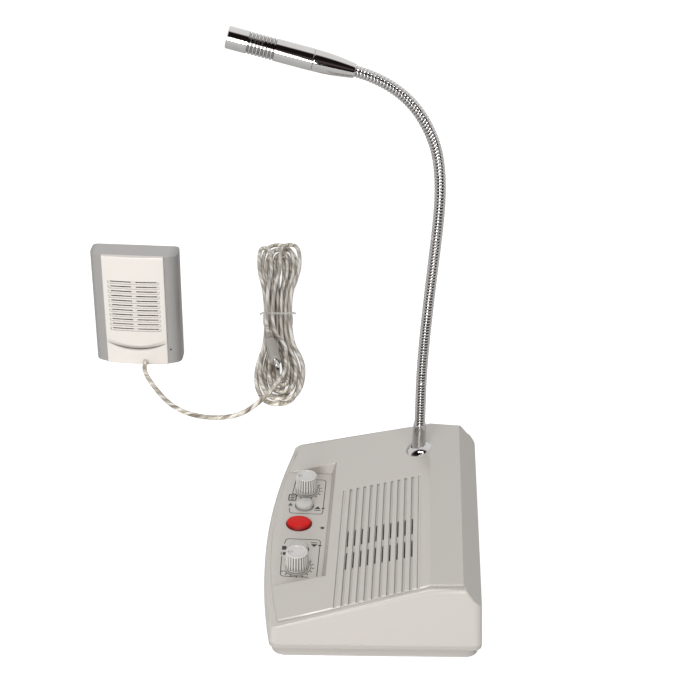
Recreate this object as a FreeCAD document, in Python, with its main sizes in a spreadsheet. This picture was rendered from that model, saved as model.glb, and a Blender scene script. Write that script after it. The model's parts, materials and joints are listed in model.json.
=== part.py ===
import FreeCAD, Part
import math
import os
import types
import Sketcher

# Teller window intercom: a desk console with a gooseneck microphone, a small outer unit for the
# customer's side and the cord that joins them. Millimetres. X is to the user's right, Y to the back,
# Z up. The origin is the middle of the console's footprint on the desk.

os.makedirs("parts", exist_ok=True)
doc = FreeCAD.newDocument("TellerIntercom")
V = FreeCAD.Vector

SIZES = {
    # console shell
    "front_width": 188.0, "rear_width": 176.4, "body_depth": 121.2, "front_bulge": 10.4,
    "seam_height": 10.3, "front_edge_height": 21.3, "top_edge_height": 48.3,
    "slope_run": 89.8, "flat_run": 19.8, "rear_drop": 14.3, "side_draft_angle": 3.6,
    "shell_wall": 2.0, "ledge_width": 4.2, "ledge_step": 1.5, "overrun": 5.0,
    "corner_radius": 5.0, "base_inset": 1.8, "base_corner_radius": 8.0, "band_height": 3.0,
    "foot_height": 0.8, "pad_side": 22.2, "pad_end": 16.6,
    # housing screws
    "boss_side": 10.2, "boss_front": 12.6, "boss_rear": 18.6, "boss_radius": 3.5, "screw_radius": 1.5,
    "screw_gap": 0.2, "screw_head_radius": 2.8, "screw_head_height": 2.0, "screw_bite": 6.0,
    # control panel in the slope
    "panel_shift": 1.5, "panel_width": 117.0, "panel_floor": 22.3, "panel_back": 29.5, "panel_lean": 2.6,
    "control_row": 11.2, "moving_gap": 0.35,
    "knob_spread": 39.5, "knob_radius": 7.2, "knob_top_radius": 6.5, "knob_height": 10.9,
    "knob_ribs": 22.0, "rib_depth": 0.35, "knob_float": 0.6, "knob_dish": 0.5, "pointer_width": 0.9,
    "shaft_radius": 3.0, "shaft_fit": 0.05, "shaft_end_gap": 1.2,
    "pot_width": 11.0, "pot_depth": 12.0, "pot_height": 7.2, "bushing_radius": 4.2, "stack_gap": 0.3,
    "talk_row": 9.1, "talk_shift": 3.5, "talk_radius": 7.8, "talk_rise": 2.4, "talk_travel": 1.8,
    "push_spread": 22.3, "push_radius": 5.6, "push_rise": 3.2, "push_travel": 1.8,
    "cap_wall": 1.2, "cap_roof": 1.8, "cap_flange": 1.1, "cap_crown": 0.5, "stem_radius": 2.2,
    "switch_width": 7.2, "push_switch_width": 6.0, "switch_height": 4.0, "plunger_radius": 1.6,
    "lamp_row": 23.9, "lamp_radius": 1.2, "lamp_rise": 0.3,
    # boards
    "board_thickness": 1.6, "control_board_width": 104.0, "control_board_front": 1.6,
    "control_board_depth": 24.5, "post_radius": 2.2, "control_post_x": 48.5, "control_post_margin": 3.0,
    "small_screw_radius": 1.0, "small_head_radius": 2.0, "small_head_height": 1.4, "small_screw_bite": 4.5,
    "main_board_width": 112.0, "main_board_depth": 69.5, "main_board_rear": 9.1, "main_post_height": 5.0,
    "main_post_margin": 4.0, "capacitor_radius": 5.0, "capacitor_height": 16.0, "capacitor_side": 10.5,
    "capacitor_back": 40.6, "capacitor_pitch": 11.5,
    # jacks at the rear
    "jack_width": 9.0, "jack_height": 11.0, "jack_depth": 13.0, "jack_nose_radius": 3.0, "jack_gap": 0.3,
    "jack_inset": 0.5,
    "power_jack_x": 30.0, "line_jack_x": 8.0, "power_nose_radius": 3.9, "power_bore_radius": 2.8,
    "power_bore_depth": 9.0, "line_bore_gap": 0.1,
    # grille and speaker
    "groove_count": 12.0, "groove_pitch": 4.45, "groove_width": 1.7, "groove_depth": 0.9,
    "groove_start": 26.5, "slot_rows": 10.0, "slot_width": 0.75, "slot_length": 15.5, "slot_bridge": 6.0,
    "speaker_x": 35.0, "speaker_back": 29.2, "speaker_radius": 28.5, "speaker_flange": 1.2,
    "speaker_depth": 9.0, "speaker_neck_radius": 14.0, "speaker_wall": 0.9, "magnet_radius": 15.0,
    "magnet_height": 7.0, "speaker_rim": 3.5, "cone_gap": 0.4, "cone_thickness": 0.7,
    "speaker_post_out": 2.6, "speaker_post_radius": 2.6, "speaker_head_radius": 3.8,
    # gooseneck
    "neck_side": 31.9, "neck_back": 7.7, "flange_radius": 8.5, "flange_rise": 4.6, "ferrule_radius": 4.5,
    "ferrule_top_radius": 4.0, "ferrule_lift": 2.0, "ferrule_height": 18.0, "stud_radius": 3.0,
    "stud_length": 17.0, "neck_pad_radius": 8.0, "neck_pad_drop": 8.0, "nut_radius": 5.8,
    "nut_height": 5.0, "washer_radius": 7.0, "washer_thickness": 1.0,
    "neck_radius": 3.4, "neck_root_radius": 3.05, "neck_dome_radius": 3.15, "neck_dome_gap": 0.3,
    "neck_cup_start": 1.85, "neck_stub": 6.0, "rib_pitch": 2.0, "crest_share": 0.42,
    "neck_rise": 231.5,
    # microphone head
    "mic_radius": 6.3, "mic_cone_length": 24.0, "mic_length": 49.5, "mic_tilt_angle": 13.6,
    "mic_wall": 0.9, "mic_bore_depth": 14.0,
    "mic_groove_start": 11.5, "mic_groove_pitch": 2.05, "mic_groove_width": 1.0, "mic_groove_depth": 0.45,
    "mic_grooves": 8.0, "capsule_length": 8.0, "capsule_gap": 0.1, "mic_grille_thickness": 1.2,
    # outer unit
    "outer_x": 227.5, "outer_y": 192.0, "outer_width": 65.2, "outer_height": 90.0, "outer_depth": 23.0,
    "outer_wall": 2.0, "outer_panel_width": 46.0, "outer_panel_thickness": 2.8, "outer_panel_crown": 1.2,
    "outer_panel_rise": 0.6, "outer_strip_back": 6.5, "outer_strip_front": 1.6, "outer_plate_inset": 2.2,
    "outer_plate_thickness": 2.0, "outer_fit": 0.1,
    "outer_slot_rows": 11.0, "outer_slot_pitch": 3.95, "outer_slot_first": 20.6, "outer_rim_width": 38.3,
    "outer_rim_height": 2.5, "outer_rim_depth": 0.45, "outer_slot_length": 15.5, "outer_slot_gap": 3.4,
    "outer_slot_height": 0.95, "smile_height": 16.0, "smile_radius": 38.0, "smile_drop": 4.2,
    "smile_depth": 0.7, "outer_mic_side": 7.4, "outer_mic_height": 12.0, "outer_mic_radius": 3.0,
    "outer_mic_length": 5.0, "outer_mic_hole": 0.7, "outer_speaker_radius": 20.8, "outer_speaker_top": 40.0,
    "outer_speaker_depth": 5.0, "outer_magnet_radius": 10.0, "outer_magnet_height": 5.0,
    "outer_post_margin": 7.0, "outer_post_end": 4.6, "outer_post_radius": 2.8, "keyhole_spread": 40.0,
    "keyhole_head": 4.0, "keyhole_slot": 2.0, "keyhole_drop": 6.0, "keyhole_top": 16.0,
    # cord, hank and plug
    "cord_radius": 1.7, "cord_floor_gap": 0.1, "grommet_radius": 2.3, "grommet_length": 6.0,
    "grommet_out": 1.5, "grommet_side": 6.0, "layer_step": 3.83,
    "hank_x": 306.3, "hank_y": 89.3, "hank_angle": 5.1, "hank_reach": 112.1, "hank_first": 16.2,
    "hank_step": 2.8, "waist_x": 12.0, "waist_step": 3.83, "waist_core": 0.545, "waist_lift": 1.1,
    "lead_in_x": 84.0, "lead_in_y": 3.2, "lead_in_run": 14.0, "lead_waist_y": 4.5, "lead_far_y": 1.0,
    "tail_waist_y": 9.5, "tail_far_y": 8.0, "tail_end_x": 45.0, "tail_end_y": 9.9,
    "tie_width": 3.4, "tie_thickness": 0.9, "tie_gap": 0.2, "tie_tail": 9.0,
    "plug_angle": 7.8, "plug_radius": 4.15, "plug_length": 31.0, "relief_length": 12.0,
    "relief_radius": 3.3, "relief_ribs": 4.0, "relief_slot": 1.1, "plug_lift": 1.2,
    "plug_tip_radius": 1.75, "plug_tip_length": 13.0, "plug_collar": 0.8, "plug_ring": 0.25,
}

# The neck's centre line seen from the side: shares of its rise, back from the ferrule and up from
# the ferrule's top.
NECK_ROUTE_SHARES = [
    (0, 0), (-0.0013, 0.1274), (0.0043, 0.3132), (0.0143, 0.4829), (0.0216, 0.6069),
    (0.0225, 0.6933), (0.0168, 0.7581), (0.0048, 0.8121), (-0.0186, 0.8661), (-0.0488, 0.9114),
    (-0.0886, 0.9495), (-0.1404, 0.9801), (-0.1978, 1),
]
# The cord's free run as (X, Y, Z) in millimetres, from the outer unit to the hank.
LEAD_ROUTE = [
    (-226.0, -186.0, 2.4), (-218.0, -186.0, 2.4), (-205.0, -180.5, 1.8), (-190.5, -172.5, 1.8),
    (-174.5, -162.5, 1.8), (-161.0, -149.5, 1.8), (-154.2, -134.0, 1.8), (-154.0, -118.0, 1.8),
    (-158.5, -104.5, 3.0), (-167.0, -93.0, 8.0), (-181.0, -84.0, 12.3), (-194.5, -80.0, 12.2),
]

sheet = doc.addObject("Spreadsheet::Sheet", "Sizes")
for row, (word, amount) in enumerate(SIZES.items(), start=1):
    sheet.set("A%d" % row, word)
    sheet.set("B%d" % row, "%g" % amount)
    sheet.setAlias("B%d" % row, word)
doc.recompute()


class Size:
    """A size with its number now and the formula on the sheet that gives it."""

    def __init__(self, number, text):
        self.number = float(number)
        self.text = text

    def __float__(self):
        return self.number

    def __add__(self, other):
        other = as_size(other)
        return Size(self.number + other.number, "(%s + %s)" % (self.text, other.text))

    def __sub__(self, other):
        other = as_size(other)
        return Size(self.number - other.number, "(%s - %s)" % (self.text, other.text))

    def __mul__(self, other):
        other = as_size(other)
        return Size(self.number * other.number, "(%s * %s)" % (self.text, other.text))

    def __truediv__(self, other):
        other = as_size(other)
        return Size(self.number / other.number, "(%s / %s)" % (self.text, other.text))

    def __neg__(self):
        return Size(-self.number, "(0 - %s)" % self.text)

    def __radd__(self, other):
        return as_size(other) + self

    def __rsub__(self, other):
        return as_size(other) - self

    def __rmul__(self, other):
        return as_size(other) * self

    def __rtruediv__(self, other):
        return as_size(other) / self


def as_size(value):
    """A plain number or a size, as a size."""
    return value if isinstance(value, Size) else Size(value, "%.9g" % value)


def root(value):
    """Square root of a size."""
    return Size(math.sqrt(value.number), "sqrt(%s)" % value.text)


def turn_of(ratio):
    """The angle in degrees whose tangent is the ratio."""
    return Size(math.degrees(math.atan(ratio.number)), "atan(%s)" % ratio.text)


S = types.SimpleNamespace(**{word: Size(float(sheet.get(word)), "Sizes." + word) for word in SIZES})
NODES = {}


def bind(item, prop, size):
    """Bind one property of an object to a size's formula."""
    size = as_size(size)
    item.setExpression(prop, size.text)


def keep(label, item):
    """Name a finished sub-part."""
    item.Label = label
    NODES[label] = item
    return item


def place(item, at, axis=None, turn=None):
    """Put an object at three formulas, turned about an axis by a fixed or a bound angle."""
    if axis is not None:
        item.Placement = FreeCAD.Placement(V(0, 0, 0), FreeCAD.Rotation(V(*axis), float(turn)))
        if isinstance(turn, Size):
            bind(item, "Placement.Rotation.Angle", turn)
    for letter, size in zip("xyz", at):
        bind(item, "Placement.Base." + letter, size)
    return item


TURNS = {"Z": None, "X": ((0, 1, 0), 90), "-X": ((0, 1, 0), -90), "Y": ((1, 0, 0), -90)}


def cylinder(name, radius, height, at, along="Z"):
    """A cylinder from the point at, along an axis."""
    item = doc.addObject("Part::Cylinder", name)
    bind(item, "Radius", radius)
    bind(item, "Height", height)
    axis, turn = TURNS[along] or (None, None)
    return place(item, at, axis, turn)


def box(name, length, width, height, at, axis=None, turn=None):
    """A box from its lowest corner at, along X, Y and Z."""
    item = doc.addObject("Part::Box", name)
    bind(item, "Length", length)
    bind(item, "Width", width)
    bind(item, "Height", height)
    return place(item, at, axis, turn)


def fuse(name, items):
    """Several objects joined."""
    item = doc.addObject("Part::MultiFuse", name)
    item.Shapes = items
    return item


def cut(name, base, tools):
    """An object less several others."""
    item = doc.addObject("Part::Cut", name)
    item.Base = base
    item.Tool = tools[0] if len(tools) == 1 else fuse(name + "_tools", tools)
    return item


def group(name, items):
    """Identical loose pieces that share one node."""
    item = doc.addObject("Part::Compound", name)
    item.Links = items
    return item


def new_body(name):
    """An empty body."""
    return doc.addObject("PartDesign::Body", name)


def sketch(body, name, role, lift=None):
    """A sketch on one of the body's own planes, moved along its normal by lift."""
    plane = [item for item in body.Origin.OriginFeatures if item.Role == role][0]
    item = body.newObject("Sketcher::SketchObject", name)
    item.AttachmentSupport = [(plane, "")]
    item.MapMode = "FlatFace"
    if lift is not None:
        bind(item, "AttachmentOffset.Base.z", lift)
    return item


def pin(item, side, end, corner):
    """Pin one end of a side to two formulas, measured from the sketch's origin."""
    for kind, size in zip(("DistanceX", "DistanceY"), corner):
        size = as_size(size)
        number = item.addConstraint(Sketcher.Constraint(kind, -1, 1, side, end, size.number))
        item.setExpression("Constraints[%d]" % number, size.text)


def outline(item, corners, arcs=None):
    """A closed outline through the corners; arcs gives a side's middle point and radius."""
    arcs = arcs or {}
    flat = [V(float(x), float(y), 0) for x, y in corners]
    count = len(flat)
    for side in range(count):
        start, end = flat[side], flat[(side + 1) % count]
        if side in arcs:
            middle = V(float(arcs[side][0][0]), float(arcs[side][0][1]), 0)
            item.addGeometry(Part.Arc(start, middle, end), False)
        else:
            item.addGeometry(Part.LineSegment(start, end), False)
    ends = []
    for side in range(count):
        first = (item.getPoint(side, 1) - flat[side]).Length <= (item.getPoint(side, 2) - flat[side]).Length
        ends.append((1, 2) if first else (2, 1))
    for side in range(count):
        pin(item, side, ends[side][0], corners[side])
        after = (side + 1) % count
        item.addConstraint(Sketcher.Constraint("Coincident", side, ends[side][1], after, ends[after][0]))
        if side in arcs:
            radius = as_size(arcs[side][1])
            number = item.addConstraint(Sketcher.Constraint("Radius", side, radius.number))
            item.setExpression("Constraints[%d]" % number, radius.text)
    return item


def ring(item, radius, at=(0, 0)):
    """A circle in a sketch."""
    radius = as_size(radius)
    side = item.addGeometry(Part.Circle(V(float(at[0]), float(at[1]), 0), V(0, 0, 1), radius.number), False)
    pin(item, side, 3, at)
    number = item.addConstraint(Sketcher.Constraint("Radius", side, radius.number))
    item.setExpression("Constraints[%d]" % number, radius.text)
    return item


def pad(body, item, length, taper=None, both=False):
    """Material along the sketch's normal, or to both sides of it."""
    feature = body.newObject("PartDesign::Pad", item.Name + "_pad")
    feature.Profile = item
    bind(feature, "Length", length)
    if taper is not None:
        bind(feature, "TaperAngle", -as_size(taper))
    if both:
        feature.SideType = "Symmetric"
    item.Visibility = False
    return feature


def pocket(body, item, length=None, backwards=False):
    """A cut both ways through everything, or one way (or both ways by half) for a length."""
    feature = body.newObject("PartDesign::Pocket", item.Name + "_pocket")
    feature.Profile = item
    if length is None:
        feature.SideType = "Symmetric"
        feature.Type = "ThroughAll"
    else:
        bind(feature, "Length", length)
        feature.Reversed = backwards
    return feature


def pocket_across(body, item, length):
    """A cut to both sides of the sketch's plane, length in all."""
    feature = pocket(body, item, length)
    feature.SideType = "Symmetric"
    return feature


def revolve(name, corners, arcs=None):
    """A body turned about its own Z axis from an outline of (radius, height) corners."""
    body = new_body(name)
    item = outline(sketch(body, name + "_profile", "XZ_Plane"), corners, arcs)
    feature = body.newObject("PartDesign::Revolution", name + "_turn")
    feature.Profile = item
    feature.ReferenceAxis = (item, ["V_Axis"])
    feature.Angle = 360
    return body


def fillet(body, base, radius, chosen):
    """Round the edges of a feature that the test chooses."""
    doc.recompute()
    names = ["Edge%d" % (n + 1) for n, edge in enumerate(base.Shape.Edges) if chosen(edge)]
    feature = body.newObject("PartDesign::Fillet", base.Name + "_round")
    feature.Base = (base, names)
    bind(feature, "Radius", radius)
    return feature


def feature(name, shape):
    """A sub-part whose shape is worked out from the sheet in this file's own code."""
    item = doc.addObject("Part::Feature", name)
    item.Shape = shape
    return item


# Lines of the console that many pieces share
FRONT_Y = -S.body_depth / 2
REAR_Y = S.body_depth / 2
FOLD_Y = FRONT_Y + S.slope_run
CREST_Y = FOLD_Y + S.flat_run
SLOPE = (S.top_edge_height - S.front_edge_height) / S.slope_run
SLOPE_LENGTH = root(S.slope_run * S.slope_run + (S.top_edge_height - S.front_edge_height)
                    * (S.top_edge_height - S.front_edge_height))
SLOPE_COS = S.slope_run / SLOPE_LENGTH
SLOPE_SIN = (S.top_edge_height - S.front_edge_height) / SLOPE_LENGTH
SLOPE_TURN = turn_of(SLOPE)
CHAMFER_RUN = REAR_Y - CREST_Y
PANEL_X = -S.panel_shift
PANEL_BACK_Y = FRONT_Y + S.panel_back
SPEAKER_Y = FOLD_Y - S.speaker_back
NECK_X = -(S.rear_width / 2 - S.neck_side)
NECK_Y = FOLD_Y - S.neck_back
PANEL_UNDER = S.panel_floor - S.shell_wall
CONTROL_BOARD_TOP = PANEL_UNDER - S.pot_height - S.stack_gap
FLOOR_TOP = S.foot_height + S.shell_wall
MAIN_BOARD_TOP = FLOOR_TOP + S.main_post_height + S.board_thickness


def side_line(y):
    """Height of the housing's side edge over the slope at a place along Y."""
    return S.front_edge_height + (y - FRONT_Y) * SLOPE


def plate_line(y):
    """Height of the raised top plate over the slope at a place along Y."""
    return side_line(y) + S.ledge_step


def plan(item, inset, half_front=None, half_rear=None):
    """The console's plan: straight tapered sides, a square rear and a front that bulges."""
    half_front = half_front if half_front is not None else S.front_width / 2
    half_rear = half_rear if half_rear is not None else S.rear_width / 2
    wide = half_front - inset
    narrow = half_rear - inset
    front = FRONT_Y + inset
    rear = REAR_Y - inset
    radius = (wide * wide + S.front_bulge * S.front_bulge) / (2 * S.front_bulge)
    corners = [(-wide, front), (wide, front), (narrow, rear), (-narrow, rear)]
    return outline(item, corners, {0: ((as_size(0), front - S.front_bulge), radius)})


def cut_above(body, name, lift, chamfer_inset):
    """Take away what lies over the slope, the flat top and the rear chamfer, moved up by lift."""
    low_y = FRONT_Y - S.front_bulge - S.overrun
    far_y = REAR_Y + S.overrun
    high = S.top_edge_height + S.ledge_step + S.overrun * 2
    drop_rate = S.rear_drop / CHAMFER_RUN
    crest = CREST_Y - lift / drop_rate - chamfer_inset
    corners = [
        (low_y, side_line(low_y) + lift), (FOLD_Y, S.top_edge_height + lift),
        (crest, S.top_edge_height + lift),
        (far_y, S.top_edge_height + lift - (far_y - crest) * drop_rate), (far_y, high), (low_y, high),
    ]
    return pocket(body, outline(sketch(body, name, "YZ_Plane"), corners))


def cut_panel(body, name, grow):
    """Sink the control panel into the slope: a level floor and a back wall that leans."""
    floor = S.panel_floor - grow
    back = PANEL_BACK_Y + grow
    low_y = FRONT_Y - S.front_bulge - S.overrun
    high = S.top_edge_height
    lean = S.panel_lean / (plate_line(PANEL_BACK_Y) - S.panel_floor)
    foot = back - S.panel_lean
    corners = [(low_y, floor), (foot, floor), (foot + (high - floor) * lean, high), (low_y, high)]
    item = outline(sketch(body, name, "YZ_Plane", PANEL_X), corners)
    return pocket_across(body, item, S.panel_width + 2 * grow)


def leans_up(edge):
    """Is this a straight edge that stands nearly upright?"""
    ends = [vertex.Point for vertex in edge.Vertexes]
    if len(ends) != 2:
        return False
    run = ends[1] - ends[0]
    return abs(run.z) > math.hypot(run.x, run.y)


def at_band_corner(edge):
    """Is this one of the band's four upright corners, not one of the base's?"""
    top = max(vertex.Point.z for vertex in edge.Vertexes)
    return leans_up(edge) and top > float(S.seam_height - S.shell_wall)


def make_outer_form():
    """The upper housing's outside, before it is hollowed."""
    body = new_body("upper_form")
    low = pad(body, plan(sketch(body, "upper_plan", "XY_Plane", S.seam_height), as_size(0)),
              S.top_edge_height - S.seam_height + S.overrun, S.side_draft_angle)
    fillet(body, low, S.corner_radius, leans_up)
    cut_above(body, "upper_ledge", as_size(0), as_size(0))
    draft = Size(math.tan(math.radians(float(S.side_draft_angle))), "tan(%s)" % S.side_draft_angle.text)
    plate_front = S.front_width / 2 - draft * (S.front_edge_height - S.seam_height) - S.ledge_width
    plate_rear = S.rear_width / 2 - draft * (S.top_edge_height - S.seam_height) - S.ledge_width
    wide, front, rear = plate_front, FRONT_Y + S.ledge_width, REAR_Y - S.shell_wall
    radius = (wide * wide + S.front_bulge * S.front_bulge) / (2 * S.front_bulge)
    corners = [(-wide, front), (wide, front), (plate_rear, rear), (-plate_rear, rear)]
    plate = outline(sketch(body, "upper_plate", "XY_Plane", S.seam_height), corners,
                    {0: ((as_size(0), front - S.front_bulge), radius)})
    raised = pad(body, plate, S.top_edge_height - S.seam_height + S.ledge_step)
    last = cut_above(body, "upper_top", S.ledge_step, as_size(0))
    last = cut_panel(body, "upper_panel", as_size(0))
    body.Tip = last
    return body


def make_core_form():
    """What is hollow inside the upper housing."""
    body = new_body("upper_core")
    start = S.seam_height - S.overrun
    pad(body, plan(sketch(body, "core_plan", "XY_Plane", start), S.shell_wall),
        S.top_edge_height - start + S.overrun, S.side_draft_angle)
    fall = root(CHAMFER_RUN * CHAMFER_RUN + S.rear_drop * S.rear_drop) / S.rear_drop
    cut_above(body, "core_top", -S.shell_wall, S.shell_wall * fall)
    body.Tip = cut_panel(body, "core_panel", S.shell_wall)
    return body


def tilted(u, v, w):
    """A point on the slope: u along X, v up the slope and w out of it, from the speaker's seat."""
    seat = side_line(SPEAKER_Y) - S.shell_wall
    return (S.speaker_x + u, SPEAKER_Y + v * SLOPE_COS - w * SLOPE_SIN,
            seat + v * SLOPE_SIN + w * SLOPE_COS)


def lay_on_slope(item, u, v, w):
    """Turn an object into the slope and put it at a point on it."""
    return place(item, tilted(as_size(u), as_size(v), as_size(w)), (1, 0, 0), SLOPE_TURN)


def slope_box(name, length, width, height, u, v, w):
    """A box whose sides follow the slope."""
    return lay_on_slope(box(name, length, width, height, (0, 0, 0)), u, v, w)


def slope_cylinder(name, radius, height, u, v, w):
    """A cylinder that stands on the slope."""
    return lay_on_slope(cylinder(name, radius, height, (0, 0, 0)), u, v, w)


def make_grille_tools():
    """Grooves across the slope, and the slots that go through them over the speaker."""
    tools = []
    skin = (S.shell_wall + S.ledge_step) * SLOPE_COS
    first = -(S.groove_count - 1) * S.groove_pitch / 2
    reach = S.front_width / 2 + S.overrun + S.groove_start
    for n in range(round(S.groove_count.number)):
        across = first + n * S.groove_pitch - S.groove_width / 2
        tools.append(slope_box("groove_%d" % n, reach, S.groove_width, S.groove_depth + S.overrun,
                               -S.groove_start - S.speaker_x, across, skin - S.groove_depth))
    for n in range(round(S.slot_rows.number)):
        across = first + (n + (S.groove_count - S.slot_rows) / 2) * S.groove_pitch - S.slot_width / 2
        for side, start in (("far", -S.slot_bridge / 2 - S.slot_length), ("near", S.slot_bridge / 2)):
            tools.append(slope_box("slot_%s_%d" % (side, n), S.slot_length, S.slot_width,
                                   skin + S.overrun * 2, start, across, -S.overrun))
    return tools


def control_places():
    """Where the knobs and the buttons stand on the panel."""
    row, talk = FRONT_Y + S.control_row, FRONT_Y + S.talk_row
    return {
        "left_knob": (PANEL_X - S.knob_spread, row), "right_knob": (PANEL_X + S.knob_spread, row),
        "left_push": (PANEL_X - S.push_spread, row), "right_push": (PANEL_X + S.push_spread, row),
        "talk": (PANEL_X - S.talk_shift, talk),
    }


def housing_corners():
    """Where the four screws join the two housings."""
    side = S.rear_width / 2 - S.boss_side
    return [(x, y) for x in (-side, side) for y in (FRONT_Y + S.boss_front, REAR_Y - S.boss_rear)]


def control_corners():
    """Where the control board hangs from the panel."""
    front = FRONT_Y + S.control_board_front + S.control_post_margin
    rear = front + S.control_board_depth - S.control_post_margin * 2
    return [(PANEL_X + x, y) for x in (-S.control_post_x, S.control_post_x) for y in (front, rear)]


def main_corners():
    """Where the main board stands on the lower housing."""
    half = S.main_board_width / 2 - S.main_post_margin
    rear = REAR_Y - S.main_board_rear - S.main_post_margin
    front = rear - S.main_board_depth + S.main_post_margin * 2
    return [(x, y) for x in (-half, half) for y in (front, rear)]


def speaker_corners():
    """Where the speaker's screws go, on the slope."""
    out = (S.speaker_radius + S.speaker_post_out) * Size(math.sqrt(1 / 2), "sqrt(1 / 2)")
    return [(u, v) for u in (-out, out) for v in (-out, out)]


def jack_height():
    """Height of the rear jacks' middle."""
    return MAIN_BOARD_TOP + S.jack_height / 2


def make_upper_housing():
    """Upper housing: shell, screw bosses and posts, less every hole."""
    shell = cut("upper_shell", make_outer_form(), [make_core_form()])
    added, holes = [shell], make_grille_tools()
    for n, (x, y) in enumerate(housing_corners()):
        roof = S.top_edge_height if float(y) > float(FOLD_Y) else side_line(y)
        tall = roof - S.shell_wall / 2 - S.seam_height
        added.append(cylinder("upper_boss_%d" % n, S.boss_radius, tall, (x, y, S.seam_height)))
        holes.append(cylinder("boss_hole_%d" % n, S.screw_radius, S.screw_bite, (x, y, S.seam_height)))
    for n, (x, y) in enumerate(control_corners()):
        tall = PANEL_UNDER - CONTROL_BOARD_TOP + S.shell_wall / 2
        added.append(cylinder("control_post_%d" % n, S.post_radius, tall, (x, y, CONTROL_BOARD_TOP)))
        holes.append(cylinder("control_pilot_%d" % n, S.small_screw_radius, S.small_screw_bite,
                              (x, y, CONTROL_BOARD_TOP)))
    for n, (u, v) in enumerate(speaker_corners()):
        added.append(slope_cylinder("speaker_post_%d" % n, S.speaker_post_radius,
                                    S.speaker_flange + S.shell_wall / 2, u, v, -S.speaker_flange))
        holes.append(slope_cylinder("speaker_pilot_%d" % n, S.small_screw_radius,
                                    S.speaker_flange + S.shell_wall / 2, u, v, -S.speaker_flange))
    neck_z = plate_line(NECK_Y)
    column = cylinder("neck_column", S.neck_pad_radius, S.neck_pad_drop + S.shell_wall,
                      (NECK_X, NECK_Y, neck_z - S.neck_pad_drop))
    reach = S.neck_pad_radius * 2
    trim = slope_box("neck_trim", reach * 2, reach * 2, S.overrun * 2, NECK_X - S.speaker_x - reach,
                     (NECK_Y - SPEAKER_Y) / SLOPE_COS - reach, (S.shell_wall + S.ledge_step) * SLOPE_COS / 2)
    added.append(cut("neck_pad", column, [trim]))
    holes.append(cylinder("neck_hole", S.stud_radius + S.shaft_fit, S.neck_pad_drop + S.overrun * 2,
                          (NECK_X, NECK_Y, neck_z - S.neck_pad_drop - S.overrun)))
    relief = PANEL_UNDER - CONTROL_BOARD_TOP
    holes.append(cylinder("talk_relief", S.talk_radius + S.cap_flange + S.moving_gap, relief,
                          (*control_places()["talk"], CONTROL_BOARD_TOP)))
    reach = {"left_knob": S.bushing_radius, "right_knob": S.bushing_radius, "left_push": S.push_radius,
             "right_push": S.push_radius, "talk": S.talk_radius}
    for name, (x, y) in control_places().items():
        holes.append(cylinder("panel_hole_" + name, reach[name] + S.moving_gap, S.shell_wall * 3,
                              (x, y, PANEL_UNDER - S.shell_wall)))
    holes.append(cylinder("panel_hole_lamp", S.lamp_radius + S.shaft_fit, S.shell_wall * 3,
                          (PANEL_X, FRONT_Y + S.lamp_row, PANEL_UNDER - S.shell_wall)))
    for name, x, nose in (("power", S.power_jack_x, S.power_nose_radius),
                          ("line", S.line_jack_x, S.jack_nose_radius)):
        holes.append(cylinder("jack_hole_" + name, nose + S.jack_gap, S.overrun * 2,
                              (x, REAR_Y - S.overrun, jack_height()), "Y"))
    keep("upper_housing", cut("upper_housing_body", fuse("upper_whole", added), holes))


def make_lower_housing():
    """Lower housing: a tray with a band that meets the upper housing and a base set in from it."""
    body = new_body("lower_form")
    band_floor = S.seam_height - S.band_height
    base = pad(body, plan(sketch(body, "lower_base", "XY_Plane", S.foot_height), S.base_inset),
               band_floor - S.foot_height + S.shell_wall)
    fillet(body, base, S.base_corner_radius, leans_up)
    band = pad(body, plan(sketch(body, "lower_band", "XY_Plane", band_floor), as_size(0)), S.band_height)
    fillet(body, band, S.corner_radius, at_band_corner)
    wide = plan(sketch(body, "lower_hollow", "XY_Plane", band_floor + S.shell_wall), S.shell_wall)
    pocket(body, wide, S.overrun, True)
    deep = plan(sketch(body, "lower_well", "XY_Plane", FLOOR_TOP), S.base_inset + S.shell_wall)
    body.Tip = pocket(body, deep, S.seam_height, True)
    added, holes = [body], []
    for n, (x, y) in enumerate(housing_corners()):
        added.append(cylinder("lower_boss_%d" % n, S.boss_radius + S.shell_wall / 2,
                              S.seam_height - S.foot_height, (x, y, S.foot_height)))
        holes.append(cylinder("lower_hole_%d" % n, S.screw_radius + S.screw_gap,
                              S.seam_height, (x, y, S.foot_height)))
        holes.append(cylinder("lower_sink_%d" % n, S.screw_head_radius + S.screw_gap,
                              S.screw_head_height + S.shell_wall, (x, y, as_size(0))))
    for n, (x, y) in enumerate(main_corners()):
        added.append(cylinder("main_post_%d" % n, S.post_radius, S.main_post_height + S.shell_wall / 2,
                              (x, y, FLOOR_TOP - S.shell_wall / 2)))
        holes.append(cylinder("main_pilot_%d" % n, S.small_screw_radius, S.small_screw_bite,
                              (x, y, FLOOR_TOP + S.main_post_height - S.small_screw_bite + S.shell_wall)))
    keep("lower_housing", cut("lower_housing_body", fuse("lower_whole", added), holes))


def screw(name, radius, head_radius, head_height, length, up=True):
    """A screw in its own frame, its head's seat at zero and its thread along Z."""
    sign = 1 if up else -1
    slot = head_height / 3
    corners = [(as_size(0), -sign * (head_height - slot)), (head_radius / 3, -sign * (head_height - slot)),
               (head_radius / 3, -sign * head_height), (head_radius, -sign * head_height),
               (head_radius, as_size(0)), (radius, as_size(0)), (radius, sign * length),
               (as_size(0), sign * length)]
    return revolve(name, corners)


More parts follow.
